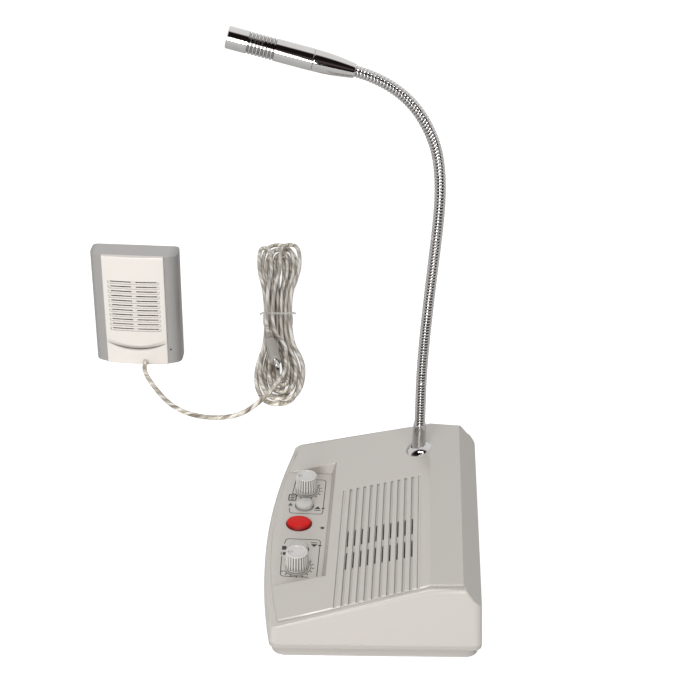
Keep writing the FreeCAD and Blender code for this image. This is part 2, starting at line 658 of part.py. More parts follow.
def make_console_fasteners():
    """Screws of the housings, the boards and the speaker, and the pad the console stands on."""
    seat = S.screw_head_height + S.shell_wall
    longs = []
    for n, (x, y) in enumerate(housing_corners()):
        item = screw("housing_screw_%d" % n, S.screw_radius, S.screw_head_radius, S.screw_head_height,
                     S.seam_height - seat + S.screw_bite - S.screw_gap)
        longs.append(place(item, (x, y, seat)))
    keep("housing_screws", group("housing_screw_set", longs))
    hung = []
    for n, (x, y) in enumerate(control_corners()):
        item = screw("control_screw_%d" % n, S.small_screw_radius, S.small_head_radius,
                     S.small_head_height, S.board_thickness + S.small_screw_bite - S.screw_gap)
        hung.append(place(item, (x, y, CONTROL_BOARD_TOP - S.board_thickness)))
    keep("control_board_screws", group("control_screw_set", hung))
    stood = []
    for n, (x, y) in enumerate(main_corners()):
        item = screw("main_screw_%d" % n, S.small_screw_radius, S.small_head_radius,
                     S.small_head_height, S.board_thickness + S.small_screw_bite - S.shell_wall - S.screw_gap,
                     False)
        stood.append(place(item, (x, y, MAIN_BOARD_TOP)))
    keep("main_board_screws", group("main_screw_set", stood))
    tilts = []
    for n, (u, v) in enumerate(speaker_corners()):
        item = screw("speaker_screw_%d" % n, S.small_screw_radius, S.speaker_head_radius,
                     S.small_head_height, S.speaker_flange + S.shell_wall / 2 - S.screw_gap)
        tilts.append(lay_on_slope(item, u, v, -S.speaker_flange))
    keep("speaker_screws", group("speaker_screw_set", tilts))
    sole = new_body("sole")
    half, front = S.rear_width / 2 - S.pad_side, FRONT_Y + S.pad_end
    corners = [(-half, front), (half, front), (half, -front), (-half, -front)]
    flat = pad(sole, outline(sketch(sole, "sole_plan", "XY_Plane"), corners), S.foot_height)
    sole.Tip = fillet(sole, flat, S.corner_radius, leans_up)
    keep("rubber_pad", sole)


def make_board(name, width, front, depth, top, corners):
    """A circuit board with its screw holes."""
    body = new_body(name + "_body")
    rise = top - S.board_thickness
    item = sketch(body, name + "_outline", "XY_Plane", rise)
    middle = PANEL_X if name == "control_board" else as_size(0)
    left, right, rear = middle - width / 2, middle + width / 2, front + depth
    outline(item, [(left, front), (right, front), (right, rear), (left, rear)])
    pad(body, item, S.board_thickness)
    drill = sketch(body, name + "_holes", "XY_Plane", rise)
    for corner in corners:
        ring(drill, S.small_screw_radius + S.screw_gap, corner)
    body.Tip = pocket(body, drill, S.board_thickness * 2, True)
    keep(name, body)


def make_boards():
    """The two circuit boards and the capacitors that show the amplifier."""
    make_board("control_board", S.control_board_width, FRONT_Y + S.control_board_front,
               S.control_board_depth, CONTROL_BOARD_TOP, control_corners())
    make_board("main_board", S.main_board_width, REAR_Y - S.main_board_rear - S.main_board_depth,
               S.main_board_depth, MAIN_BOARD_TOP, main_corners())
    cans = [cylinder("can_%d" % n, S.capacitor_radius, S.capacitor_height,
                     (S.capacitor_side - S.main_board_width / 2 + n * S.capacitor_pitch,
                      REAR_Y - S.capacitor_back, MAIN_BOARD_TOP))
            for n in range(2)]
    keep("capacitors", group("can_set", cans))


FLUTE_SHARE = 0.6
LAMP_FOOT_SHARE = 1.3


def make_knob(side):
    """A ribbed knob, its shaft and the potentiometer under it."""
    x, y = control_places()[side + "_knob"]
    foot = S.panel_floor + S.knob_float
    bore = S.shaft_radius + S.shaft_fit
    bore_depth = S.knob_height - S.cap_roof
    name = side + "_volume_knob"
    edge = S.rib_depth * 2
    corners = [(bore, as_size(0)), (S.knob_radius, as_size(0)), (S.knob_radius, edge),
               (S.knob_top_radius, S.knob_height - edge), (S.knob_top_radius - edge, S.knob_height),
               (S.knob_top_radius - edge * 2, S.knob_height - S.knob_dish),
               (as_size(0), S.knob_height - S.knob_dish),
               (as_size(0), bore_depth), (bore, bore_depth)]
    body = revolve(name + "_body", corners)
    rib = sketch(body, name + "_flute", "XY_Plane", edge)
    ring(rib, S.rib_depth * 2, (S.knob_radius + S.rib_depth * FLUTE_SHARE, as_size(0)))
    flute = pocket(body, rib, S.knob_height, True)
    bind(flute, "TaperAngle", as_size(0))
    doc.recompute()
    turn = body.newObject("PartDesign::PolarPattern", name + "_flutes")
    turn.Originals = [flute]
    turn.Axis = (rib, ["N_Axis"])
    turn.Angle = 360
    turn.Occurrences = round(S.knob_ribs.number)
    body.Tip = turn
    doc.recompute()
    mark = sketch(body, name + "_pointer", "XY_Plane", S.knob_height - S.knob_dish * 2)
    half = S.pointer_width / 2
    outline(mark, [(-half, -S.knob_radius), (half, -S.knob_radius), (half, -S.shaft_radius),
                   (-half, -S.shaft_radius)])
    body.Tip = pocket(body, mark, S.knob_height, True)
    keep(name, place(body, (x, y, foot)))
    low = CONTROL_BOARD_TOP + S.shaft_end_gap
    keep(side + "_shaft", cylinder(side + "_shaft_rod", S.shaft_radius, foot + bore_depth - low, (x, y, low)))
    block = box(side + "_pot_block", S.pot_width, S.pot_depth, S.pot_height,
                (x - S.pot_width / 2, y - S.pot_depth / 2, CONTROL_BOARD_TOP))
    bush = cylinder(side + "_pot_bush", S.bushing_radius, S.panel_floor - CONTROL_BOARD_TOP,
                    (x, y, CONTROL_BOARD_TOP))
    hole = cylinder(side + "_pot_hole", S.shaft_radius + S.moving_gap, S.panel_floor,
                    (x, y, CONTROL_BOARD_TOP + S.shaft_end_gap - S.moving_gap))
    keep(side + "_potentiometer", cut(side + "_pot", fuse(side + "_pot_solid", [block, bush]), [hole]))


def make_button(name, radius, rise, travel, width):
    """A push button: its cap, the plunger it stands on and the switch body."""
    x, y = control_places()[name]
    top = S.panel_floor + rise
    flange_top = PANEL_UNDER - S.moving_gap
    base = flange_top - S.cap_flange
    tall = top - base
    roof = tall - S.cap_roof
    plunger_top = CONTROL_BOARD_TOP + S.switch_height + travel + S.moving_gap
    stem_low = plunger_top - base
    inner = radius - S.cap_wall
    edge = S.cap_crown
    corners = [(inner, as_size(0)), (radius + S.cap_flange, as_size(0)), (radius + S.cap_flange, S.cap_flange),
               (radius, S.cap_flange), (radius, tall - rise), (radius - edge, tall - edge),
               (radius - edge * 2, tall), (as_size(0), tall), (as_size(0), stem_low), (S.stem_radius, stem_low),
               (S.stem_radius, roof), (inner, roof)]
    cap = revolve(name + "_cap", corners)
    keep(name + "_button", place(cap, (x, y, base)))
    low = CONTROL_BOARD_TOP + travel + S.moving_gap
    keep(name + "_plunger", cylinder(name + "_plunger_rod", S.plunger_radius, plunger_top - low, (x, y, low)))
    block = box(name + "_switch_block", width, width, S.switch_height,
                (x - width / 2, y - width / 2, CONTROL_BOARD_TOP))
    hole = cylinder(name + "_switch_bore", S.plunger_radius + S.moving_gap, S.switch_height,
                    (x, y, CONTROL_BOARD_TOP + S.moving_gap / 2))
    keep(name + "_switch", cut(name + "_switch_body", block, [hole]))


def make_controls():
    """Everything on the control panel."""
    make_knob("left")
    make_knob("right")
    make_button("talk", S.talk_radius, S.talk_rise, S.talk_travel, S.switch_width)
    make_button("left_push", S.push_radius, S.push_rise, S.push_travel, S.push_switch_width)
    make_button("right_push", S.push_radius, S.push_rise, S.push_travel, S.push_switch_width)
    tall = S.panel_floor + S.lamp_rise - CONTROL_BOARD_TOP
    foot = S.lamp_radius * LAMP_FOOT_SHARE
    corners = [(as_size(0), as_size(0)), (foot, as_size(0)), (foot, S.board_thickness),
               (S.lamp_radius, S.board_thickness), (S.lamp_radius, tall - S.lamp_rise),
               (S.lamp_radius / 2, tall), (as_size(0), tall)]
    keep("indicator_lamp", place(revolve("lamp_body", corners),
                                 (PANEL_X, FRONT_Y + S.lamp_row, CONTROL_BOARD_TOP)))


def make_jack(name, x, nose_radius, bore, depth):
    """A rear jack: a block on the main board and a nose in the rear wall."""
    wall = REAR_Y - S.shell_wall - S.shell_wall / 2
    block = box(name + "_block", S.jack_width, S.jack_depth, S.jack_height,
                (x - S.jack_width / 2, wall - S.jack_depth, MAIN_BOARD_TOP))
    mouth = REAR_Y - S.jack_inset
    nose = cylinder(name + "_nose", nose_radius, mouth - wall + S.jack_depth / 2,
                    (x, wall - S.jack_depth / 2, jack_height()), "Y")
    hole = cylinder(name + "_bore", bore, depth + S.overrun, (x, mouth - depth, jack_height()), "Y")
    keep(name, cut(name + "_solid", fuse(name + "_whole", [block, nose]), [hole]))


def make_speaker(name, radius, depth, neck, magnet, magnet_tall, rim):
    """A speaker in its own frame, its flange's face at zero and its magnet along -Z."""
    wall = S.speaker_wall
    flange = S.speaker_flange
    frame = revolve(name + "_frame_body", [
        (radius - rim, as_size(0)), (radius, as_size(0)), (radius, -flange), (radius - rim + wall, -flange),
        (neck + wall, -depth), (as_size(0), -depth), (as_size(0), -depth + wall), (neck, -depth + wall),
        (radius - rim, -flange + wall / 2)])
    gap = S.cone_gap
    edge = radius - rim - S.shaft_fit * 2
    cone = revolve(name + "_cone_body", [
        (edge, -flange / 4), (edge, -flange / 4 - S.cone_thickness / 2),
        (edge - gap * 3, -flange / 2 - S.cone_thickness),
        (neck - gap, -depth + wall + gap + S.cone_thickness),
        (neck / 2, -depth + wall + gap + S.cone_thickness), (neck / 2, -depth + wall),
        (neck / 2 - wall, -depth + wall), (neck / 2 - wall, -depth + wall + S.cone_thickness * 3),
        (neck - gap * 2, -depth + wall + gap + S.cone_thickness * 3)])
    iron = revolve(name + "_magnet_body", [
        (as_size(0), -depth), (magnet, -depth), (magnet, -depth - magnet_tall),
        (as_size(0), -depth - magnet_tall)])
    return frame, cone, iron


def make_console_speaker():
    """The console's speaker, under the grille."""
    parts = make_speaker("speaker", S.speaker_radius, S.speaker_depth, S.speaker_neck_radius,
                         S.magnet_radius, S.magnet_height, S.speaker_rim)
    for label, item in zip(("speaker_frame", "speaker_cone", "speaker_magnet"), parts):
        keep(label, lay_on_slope(item, 0, 0, 0))


def make_neck_fixing():
    """The chrome base of the neck and what holds it under the housing."""
    x, y, z = NECK_X, NECK_Y, plate_line(NECK_Y)
    ball = (S.flange_radius * S.flange_radius + S.flange_rise * S.flange_rise) / (2 * S.flange_rise)
    half = S.flange_rise / 2
    side = root(ball * ball - (ball - half) * (ball - half))
    dome = revolve("flange_dome", [(as_size(0), as_size(0)), (S.flange_radius, as_size(0)),
                                   (as_size(0), S.flange_rise)], {1: ((side, half), ball)})
    place(dome, (x, y, z), (1, 0, 0), SLOPE_TURN)
    bore = cylinder("flange_bore", S.ferrule_radius + S.shaft_fit, S.ferrule_height,
                    (x, y, z + S.ferrule_lift))
    stem = cylinder("flange_stem", S.stud_radius + S.shaft_fit, S.ferrule_height,
                    (x, y, z - S.ferrule_lift * 2))
    keep("neck_flange", cut("flange", dome, [bore, stem]))
    waist = S.ferrule_height / 4
    ferrule = revolve("ferrule_body", [
        (as_size(0), as_size(0)), (S.ferrule_radius, as_size(0)), (S.ferrule_radius, waist),
        (S.ferrule_top_radius, S.ferrule_height - S.shell_wall / 2),
        (S.ferrule_top_radius - S.shell_wall / 4, S.ferrule_height), (as_size(0), S.ferrule_height)])
    keep("neck_ferrule", place(ferrule, (x, y, z + S.ferrule_lift)))
    keep("neck_stud", cylinder("stud", S.stud_radius, S.stud_length + S.ferrule_lift,
                               (x, y, z + S.ferrule_lift - S.stud_length - S.ferrule_lift)))
    under = z - S.neck_pad_drop
    washer = cylinder("washer_disc", S.washer_radius, S.washer_thickness, (x, y, under - S.washer_thickness))
    washer_hole = cylinder("washer_hole", S.stud_radius + S.shaft_fit, S.washer_thickness * 3,
                           (x, y, under - S.washer_thickness * 2))
    keep("neck_washer", cut("washer", washer, [washer_hole]))
    nut = doc.addObject("Part::Prism", "nut_prism")
    nut.Polygon = 6
    bind(nut, "Circumradius", S.nut_radius)
    bind(nut, "Height", S.nut_height)
    place(nut, (x, y, under - S.washer_thickness - S.nut_height))
    nut_hole = cylinder("nut_hole", S.stud_radius + S.shaft_fit, S.nut_height * 3,
                        (x, y, under - S.washer_thickness - S.nut_height * 2))
    keep("neck_nut", cut("nut", nut, [nut_hole]))


def head_way():
    """The direction of the microphone head: towards the user and up by its tilt."""
    tilt = math.radians(float(S.mic_tilt_angle))
    return V(0, -math.cos(tilt), math.sin(tilt))


def neck_line():
    """The neck's centre line as one smooth edge; it starts upright and ends along the head."""
    rise = float(S.neck_rise)
    foot_z = float(plate_line(NECK_Y) + S.ferrule_lift + S.ferrule_height)
    points = [V(float(NECK_X), float(NECK_Y) + y * rise, foot_z + z * rise) for y, z in NECK_ROUTE_SHARES]
    curve = Part.BSplineCurve()
    curve.interpolate(points, InitialTangent=V(0, 0, 1), FinalTangent=head_way())
    return curve.toShape()


def station(edge, length):
    """Point and direction on an edge at a distance from its start."""
    number = edge.getParameterByLength(length)
    return edge.valueAt(number), edge.tangentAt(number).normalize()


def circle_at(point, direction, radius):
    """A circle square to a direction, its seam on the X side."""
    turn = FreeCAD.Rotation(V(1, 0, 0), direction.cross(V(1, 0, 0)), direction, "ZXY")
    wire = Part.Wire(Part.Circle(V(0, 0, 0), V(0, 0, 1), radius).toShape())
    wire.Placement = FreeCAD.Placement(point, turn)
    return wire


def ribbed(edge, start, end):
    """A solid along the neck's centre line with evenly spaced ribs."""
    pitch = float(S.rib_pitch)
    crest = pitch * float(S.crest_share)
    count = max(1, round((end - start) / pitch))
    step = (end - start) / count
    slope = (step - crest) / 4
    wires = []
    for n in range(count):
        low = start + n * step
        for reach, radius in ((0, S.neck_radius), (crest, S.neck_radius),
                              (crest + slope, S.neck_root_radius), (step - slope, S.neck_root_radius)):
            wires.append(circle_at(*station(edge, low + reach), float(radius)))
    wires.append(circle_at(*station(edge, end), float(S.neck_radius)))
    return Part.makeLoft(wires, True, True)


def neck_pivots(edge):
    """Distances along the neck at which its segments turn on each other."""
    stub = float(S.neck_stub)
    run = (edge.Length - stub) / NECK_SEGMENTS
    return [stub + n * run for n in range(NECK_SEGMENTS)] + [edge.Length]


NECK_SEGMENTS = 5


def make_neck():
    """The gooseneck: a fixed stub and segments that turn on domed ends."""
    edge = neck_line()
    pivots = neck_pivots(edge)
    dome = float(S.neck_dome_radius)
    cup = dome + float(S.neck_dome_gap)
    stub = ribbed(edge, 0.0, pivots[0]).fuse(Part.makeSphere(dome, station(edge, pivots[0])[0]))
    keep("neck_root", feature("neck_root_solid", stub))
    for n in range(NECK_SEGMENTS):
        solid = ribbed(edge, pivots[n] + float(S.neck_cup_start), pivots[n + 1])
        if n < NECK_SEGMENTS - 1:
            solid = solid.fuse(Part.makeSphere(dome, station(edge, pivots[n + 1])[0]))
        solid = solid.cut(Part.makeSphere(cup, station(edge, pivots[n])[0]))
        keep("neck_segment_%d" % (n + 1), feature("neck_segment_solid_%d" % (n + 1), solid))
    for n in range(NECK_SEGMENTS):
        point, way = station(edge, pivots[n])
        print("neck pivot", n + 1, [round(c, 4) for c in point], [round(c, 5) for c in way])
    print("neck length", round(edge.Length, 2))


def make_microphone():
    """The microphone head, in line with the neck's end."""
    edge = neck_line()
    point, way = station(edge, edge.Length)
    turn = FreeCAD.Rotation(V(0, 0, 1), way)
    radius, bore = S.mic_radius, S.mic_radius - S.mic_wall
    lip = S.mic_wall / 2
    cone = revolve("mic_cone_body", [
        (as_size(0), as_size(0)), (S.neck_radius + S.mic_wall / 2, as_size(0)),
        (S.neck_radius + S.mic_wall, S.mic_wall), (radius - lip, S.mic_cone_length - S.mic_wall),
        (radius - lip, S.mic_cone_length), (as_size(0), S.mic_cone_length)])
    corners = [(as_size(0), as_size(0)), (radius - lip, as_size(0)), (radius, lip)]
    start = S.mic_length - S.mic_groove_start - S.mic_grooves * S.mic_groove_pitch
    for n in range(round(S.mic_grooves.number)):
        low = start + n * S.mic_groove_pitch
        deep = radius - S.mic_groove_depth
        high = low + S.mic_groove_width
        corners += [(radius, low), (deep, low + S.mic_groove_depth / 2),
                    (deep, high - S.mic_groove_depth / 2), (radius, high)]
    corners += [(radius, S.mic_length - lip), (radius - lip, S.mic_length), (bore, S.mic_length),
                (bore, S.mic_length - S.mic_bore_depth), (as_size(0), S.mic_length - S.mic_bore_depth)]
    barrel = revolve("mic_barrel_body", corners)
    grille_low = S.mic_length - S.mic_wall - S.mic_grille_thickness
    fit = bore - S.capsule_gap
    capsule = cylinder("mic_capsule_can", fit, S.capsule_length, (0, 0, 0))
    disc = revolve("mic_grille_body", [
        (as_size(0), as_size(0)), (fit, as_size(0)), (fit, S.mic_grille_thickness - lip),
        (fit - lip, S.mic_grille_thickness), (as_size(0), S.mic_grille_thickness)])
    lifts = {"mic_cone": (cone, as_size(0)), "mic_barrel": (barrel, S.mic_cone_length),
             "mic_capsule": (capsule, S.mic_cone_length + grille_low - S.capsule_length),
             "mic_grille": (disc, S.mic_cone_length + grille_low)}
    for label, (item, lift) in lifts.items():
        item.Placement = FreeCAD.Placement(point + way * float(lift), turn)
        for letter in "xyz":
            text = "%.9g + %.9g * %s" % (getattr(point, letter), getattr(way, letter), lift.text)
            item.setExpression("Placement.Base." + letter, text)
        keep(label, item)


def outer_frame(x_back, y_side, z):
    """A place on the outer unit: back from its front face, aside from its middle, and up."""
    return (-S.outer_x - x_back, -S.outer_y + y_side, as_size(z))


def outer_corners():
    """Where the outer unit's screws go."""
    half, end = S.outer_width / 2 - S.outer_post_margin, S.outer_post_end
    return [(y, z) for y in (-half, half) for z in (end, S.outer_height - end)]


def outer_speaker_height():
    """Height of the outer unit's speaker."""
    return S.outer_height - S.outer_speaker_top


def make_outer_shell():
    """The outer unit's housing: side strips that fall back, and a seat for the front panel."""
    body = new_body("outer_shell_body")
    half, panel = S.outer_width / 2, S.outer_panel_width / 2 + S.outer_fit
    middle, front = -S.outer_y, -S.outer_x
    back = front - S.outer_depth
    seat = front - S.outer_panel_thickness - S.outer_panel_crown
    inner = front - S.outer_strip_front - S.outer_panel_crown
    corners = [(back, middle - half), (front - S.outer_strip_back, middle - half), (inner, middle - panel),
               (seat, middle - panel), (seat, middle + panel), (inner, middle + panel),
               (front - S.outer_strip_back, middle + half), (back, middle + half)]
    pad(body, outline(sketch(body, "outer_plan", "XY_Plane"), corners), S.outer_height)
    hollow = sketch(body, "outer_hollow", "YZ_Plane", back)
    wall = S.outer_wall
    left, right, high = middle - half + wall, middle + half - wall, S.outer_height - wall
    outline(hollow, [(left, wall), (right, wall), (right, high), (left, high)])
    depth = S.outer_depth - S.outer_strip_back - wall
    pocket(body, hollow, depth, True)
    bay = sketch(body, "outer_bay", "YZ_Plane", back)
    reach = panel - wall
    outline(bay, [(middle - reach, wall), (middle + reach, wall), (middle + reach, high),
                  (middle - reach, high)])
    last = pocket(body, bay, S.outer_depth - S.outer_panel_thickness - S.outer_panel_crown - wall, True)
    body.Tip = last
    added, holes = [body], []
    for n, (y, z) in enumerate(outer_corners()):
        added.append(cylinder("outer_post_%d" % n, S.outer_post_radius,
                              S.outer_depth - S.outer_strip_back - S.outer_plate_thickness - wall / 2,
                              outer_frame(S.outer_depth - S.outer_plate_thickness, y, z), "X"))
        deep = S.small_screw_bite + S.outer_plate_thickness
        holes.append(cylinder("outer_pilot_%d" % n, S.small_screw_radius, deep,
                              outer_frame(S.outer_depth, y, z), "X"))
    mouth = S.outer_speaker_radius - S.speaker_rim
    holes.append(cylinder("outer_window", mouth, S.outer_depth,
                          outer_frame(S.outer_depth / 2, as_size(0), outer_speaker_height()), "X"))
    holes.append(cylinder("outer_mic_bore", S.outer_mic_hole, S.outer_depth,
                          outer_frame(S.outer_depth / 2, half - S.outer_mic_side, S.outer_mic_height), "X"))
    holes.append(cylinder("outer_cord_hole", S.grommet_radius + S.shaft_fit, S.outer_depth,
                          outer_frame(S.outer_depth / 2, S.grommet_side, CORD_EXIT_Z), "X"))
    keep("outer_housing", cut("outer_housing_solid", fuse("outer_housing_whole", added), holes))


CORD_EXIT_Z = S.grommet_radius + S.cord_floor_gap


def make_outer_panel():
    """The light front panel: a shallow crown, rimmed rows with two slots each and a moulded smile."""
    body = new_body("outer_panel_body")
    half, middle, front = S.outer_panel_width / 2, -S.outer_y, -S.outer_x
    back = front - S.outer_panel_thickness - S.outer_panel_crown
    shoulder = front - S.outer_panel_crown
    crown = (half * half + S.outer_panel_crown * S.outer_panel_crown) / (2 * S.outer_panel_crown)
    corners = [(back, middle - half), (shoulder, middle - half), (shoulder, middle + half),
               (back, middle + half)]
    pad(body, outline(sketch(body, "panel_plan", "XY_Plane"), corners, {1: ((front, middle), crown)}),
        S.outer_height + S.outer_panel_rise)
    tools = []
    for n in range(round(S.outer_slot_rows.number)):
        z = S.outer_height - S.outer_slot_first - n * S.outer_slot_pitch
        deep = S.outer_rim_depth + S.outer_panel_crown / 2
        tools.append(box("rim_%d" % n, S.outer_depth, S.outer_rim_width, S.outer_rim_height,
                         (front - deep, middle - S.outer_rim_width / 2, z - S.outer_rim_height / 2)))
        low = z + S.outer_rim_height / 2 - S.outer_slot_height
        for side, start in (("l", -S.outer_slot_gap / 2 - S.outer_slot_length), ("r", S.outer_slot_gap / 2)):
            tools.append(box("panel_slot_%s_%d" % (side, n), S.outer_depth, S.outer_slot_length,
                             S.outer_slot_height, (back - S.overrun, middle + start, low)))
    low = S.smile_height + S.smile_radius
    disc = cylinder("smile_disc", S.smile_radius, S.outer_depth,
                    (front - S.smile_depth - S.outer_panel_crown / 2, middle, low), "X")
    rest = cylinder("smile_rest", S.smile_radius, S.outer_depth * 2,
                    (front - S.outer_depth, middle, low + S.smile_drop), "X")
    tools.append(cut("smile_moon", disc, [rest]))
    tools.append(cylinder("panel_cord_hole", S.grommet_radius + S.shaft_fit, S.outer_depth,
                          outer_frame(S.outer_depth / 2, S.grommet_side, CORD_EXIT_Z), "X"))
    keep("outer_front_panel", cut("outer_panel_solid", body, tools))


def make_outer_back():
    """The outer unit's back plate, with two keyholes to hang it by, and its screws."""
    back = -S.outer_x - S.outer_depth
    inset, thick = S.outer_plate_inset, S.outer_plate_thickness
    plate = box("outer_plate", thick, S.outer_width - inset * 2, S.outer_height - inset * 2,
                (back, -S.outer_y - S.outer_width / 2 + inset, inset))
    tools = []
    high = S.outer_height - S.keyhole_top
    for n, y in enumerate((-S.keyhole_spread / 2, S.keyhole_spread / 2)):
        tools.append(cylinder("keyhole_head_%d" % n, S.keyhole_head, thick * 3,
                              (back - thick, -S.outer_y + y, high - S.keyhole_drop), "X"))
        tools.append(box("keyhole_slot_%d" % n, thick * 3, S.keyhole_slot * 2, S.keyhole_drop,
                         (back - thick, -S.outer_y + y - S.keyhole_slot, high - S.keyhole_drop)))
        tools.append(cylinder("keyhole_end_%d" % n, S.keyhole_slot, thick * 3,
                              (back - thick, -S.outer_y + y, high), "X"))
    screws = []
    for n, (y, z) in enumerate(outer_corners()):
        tools.append(cylinder("plate_hole_%d" % n, S.small_screw_radius + S.screw_gap, thick * 3,
                              (back - thick, -S.outer_y + y, z), "X"))
        tools.append(cylinder("plate_sink_%d" % n, S.small_head_radius + S.screw_gap, S.small_head_height,
                              (back, -S.outer_y + y, z), "X"))
        item = screw("outer_screw_%d" % n, S.small_screw_radius, S.small_head_radius,
                     S.small_head_height, S.small_screw_bite)
        place(item, (back + S.small_head_height, -S.outer_y + y, z), (0, 1, 0), 90)
        screws.append(item)
    keep("outer_back_plate", cut("outer_plate_solid", plate, tools))
    keep("outer_screws", group("outer_screw_set", screws))


def make_outer_inside():
    """The outer unit's speaker and microphone."""
    parts = make_speaker("outer_speaker", S.outer_speaker_radius, S.outer_speaker_depth,
                         S.outer_magnet_radius, S.outer_magnet_radius, S.outer_magnet_height, S.speaker_rim)
    face = S.outer_panel_thickness + S.outer_panel_crown + S.outer_wall
    for label, item in zip(("outer_speaker_frame", "outer_speaker_cone", "outer_speaker_magnet"), parts):
        keep(label, place(item, outer_frame(face, as_size(0), outer_speaker_height()), (0, 1, 0), 90))
    low = S.outer_strip_back + S.outer_wall + S.outer_mic_length
    side = S.outer_width / 2 - S.outer_mic_side
    keep("outer_microphone", cylinder("outer_mic_can", S.outer_mic_radius, S.outer_mic_length,
                                      outer_frame(low, side, S.outer_mic_height), "X"))
    lead_end = -S.outer_x + S.grommet_out
    nose = revolve("grommet_body", [
        (as_size(0), as_size(0)), (S.grommet_radius, as_size(0)),
        (S.grommet_radius, S.grommet_length - S.grommet_out / 2),
        (S.cord_radius + S.cord_floor_gap, S.grommet_length), (as_size(0), S.grommet_length)])
    keep("cord_grommet", place(nose, (lead_end - S.grommet_length, -S.outer_y + S.grommet_side, CORD_EXIT_Z),
                               (0, 1, 0), 90))


def hank_point(u, v, z):
    """A point of the hank: u along it towards the front of the picture, v across it."""
    turn = math.radians(float(S.hank_angle))
    x = -float(S.hank_x) + u * math.cos(turn) - v * math.sin(turn)
    y = -float(S.hank_y) + u * math.sin(turn) + v * math.cos(turn)
    return V(x, y, z)


def hank_way(u, v):
    """A direction across the floor in the hank's own frame."""
    turn = math.radians(float(S.hank_angle))
    return V(u * math.cos(turn) - v * math.sin(turn), u * math.sin(turn) + v * math.cos(turn), 0)


def layer_height(layer):
    """Height of the cord's centre in a layer of the hank, the lowest being 0."""
    return float(S.cord_radius) + float(S.cord_floor_gap) + layer * float(S.layer_step)


def waist_side(side):
    """How far a run lies from the middle at the waist, from where it lies at the ends."""
    return side * float(S.waist_step) / (2 * float(S.hank_step)) - float(S.waist_core)


HANK_TURNS = 5


def hank_stops():
    """Points and directions of the hank: in along the top layer, out along the bottom one.

    Runs are numbered from 0. Even runs lie on the far side of the middle and come towards the
    front; odd ones lie on the near side and go back. Each half turn is a half circle.
    """
    reach, lift = float(S.hank_reach), float(S.waist_lift)
    waist = float(S.waist_x)
    stops = []

    def stop(u, v, z, du, dv):
        stops.append((hank_point(u, v, z), hank_way(du, dv)))

    top, middle, low = layer_height(2), layer_height(1), layer_height(0)
    lead_u, lead_v = float(S.lead_in_x), float(S.lead_in_y)
    straight = 2 * float(S.cord_radius)
    stop(lead_u, lead_v, top + lift, -1, 0)
    stop(lead_u - straight, lead_v, top + lift, -1, 0)
    stop(waist, -float(S.lead_waist_y), top + lift, -1, 0)
    far_u, far_v = reach, -float(S.lead_far_y)
    stop(-far_u, far_v, top, -1, 0)
    first = float(S.hank_first)
    bend = (first - far_v) / 2
    stop(-far_u - bend, far_v + bend, top, 0, 1)
    stop(-far_u, first, top, 1, 0)
    step = float(S.hank_step)
    inner = first - step * HANK_TURNS
    last = 2 * HANK_TURNS + 1
    for run in range(last + 1):
        side = first - step * run if run <= HANK_TURNS else inner + step * (run - HANK_TURNS)
        sign = 1 if run % 2 == 0 else -1
        after = first - step * (run + 1) if run < HANK_TURNS else inner + step * (run + 1 - HANK_TURNS)
        start_z = middle if run <= HANK_TURNS else low
        end_z = start_z if run != HANK_TURNS else low
        if run == 0:
            start_z = top
            end_z = middle
        if run == last:
            end_z = top
        if run > 0:
            stop(sign * -reach, sign * side, start_z, sign, 0)
        stop(waist, sign * waist_side(side), (start_z + end_z) / 2 + lift, sign, 0)
        if run < last:
            stop(sign * reach, sign * side, end_z, sign, 0)
            bend = (side + after) / 2
            stop(sign * (reach + bend), sign * (side - bend), end_z, 0, -sign)
    back = float(S.tail_far_y)
    bend = (first + step - back) / 2
    stop(-reach, -first - step, top, -1, 0)
    stop(-reach - bend, -first - step + bend, top, 0, 1)
    stop(-reach, -back, top, 1, 0)
    stop(waist, -float(S.tail_waist_y), top + lift, 1, 0)
    turn = math.radians(float(S.plug_angle))
    end_u, end_v = float(S.tail_end_x), -float(S.tail_end_y)
    cos, sin = math.cos(turn), math.sin(turn)
    height = plug_height()
    stop(end_u - straight * cos, end_v - straight * sin, height, cos, sin)
    stop(end_u, end_v, height, cos, sin)
    return stops


def plug_height():
    """Height of the plug's axis: it lies on the hank's top layer."""
    return layer_height(1) + float(S.cord_radius) + float(S.plug_radius) + float(S.plug_lift)


def biarc(start, start_way, end, end_way):
    """Two arcs that leave one point and reach the next in the given directions."""
    gap = end - start
    both = start_way + end_way
    spread = 2 * (1 - start_way.dot(end_way))
    if spread < 1e-9:
        middle = gap.dot(end_way)
        reach = gap.dot(gap) / (4 * middle)
    else:
        lead = gap.dot(both)
        reach = (math.sqrt(lead * lead + spread * gap.dot(gap)) - lead) / spread
    joint = (start + end + (start_way - end_way) * reach) / 2
    way = (joint - start - start_way * reach).normalize()
    return [tangent_arc(start, start_way, joint), tangent_arc(joint, way, end)]


def tangent_arc(start, way, end):
    """The arc, or the line, from a point in a direction to another point."""
    chord = end - start
    side = chord - way * chord.dot(way)
    if side.Length < 1e-7:
        return Part.LineSegment(start, end).toShape()
    radius = chord.dot(chord) / (2 * side.Length)
    centre = start + side.normalize() * radius
    middle = (start + end) / 2 - centre
    reach = middle.normalize() * radius
    if chord.dot(way) < 0:
        reach = -reach
    return Part.Arc(start, centre + reach, end).toShape()


def swept(edges, radius):
    """A round tube along an unbroken path."""
    path = Part.Wire(edges)
    start = edges[0].Vertexes[0].Point
    way = edges[0].tangentAt(edges[0].FirstParameter)
    section = Part.Wire(Part.Circle(start, way, radius).toShape())
    shell = Part.BRepOffsetAPI.MakePipeShell(path)
    shell.add(section)
    shell.build()
    shell.makeSolid()
    return shell.shape()


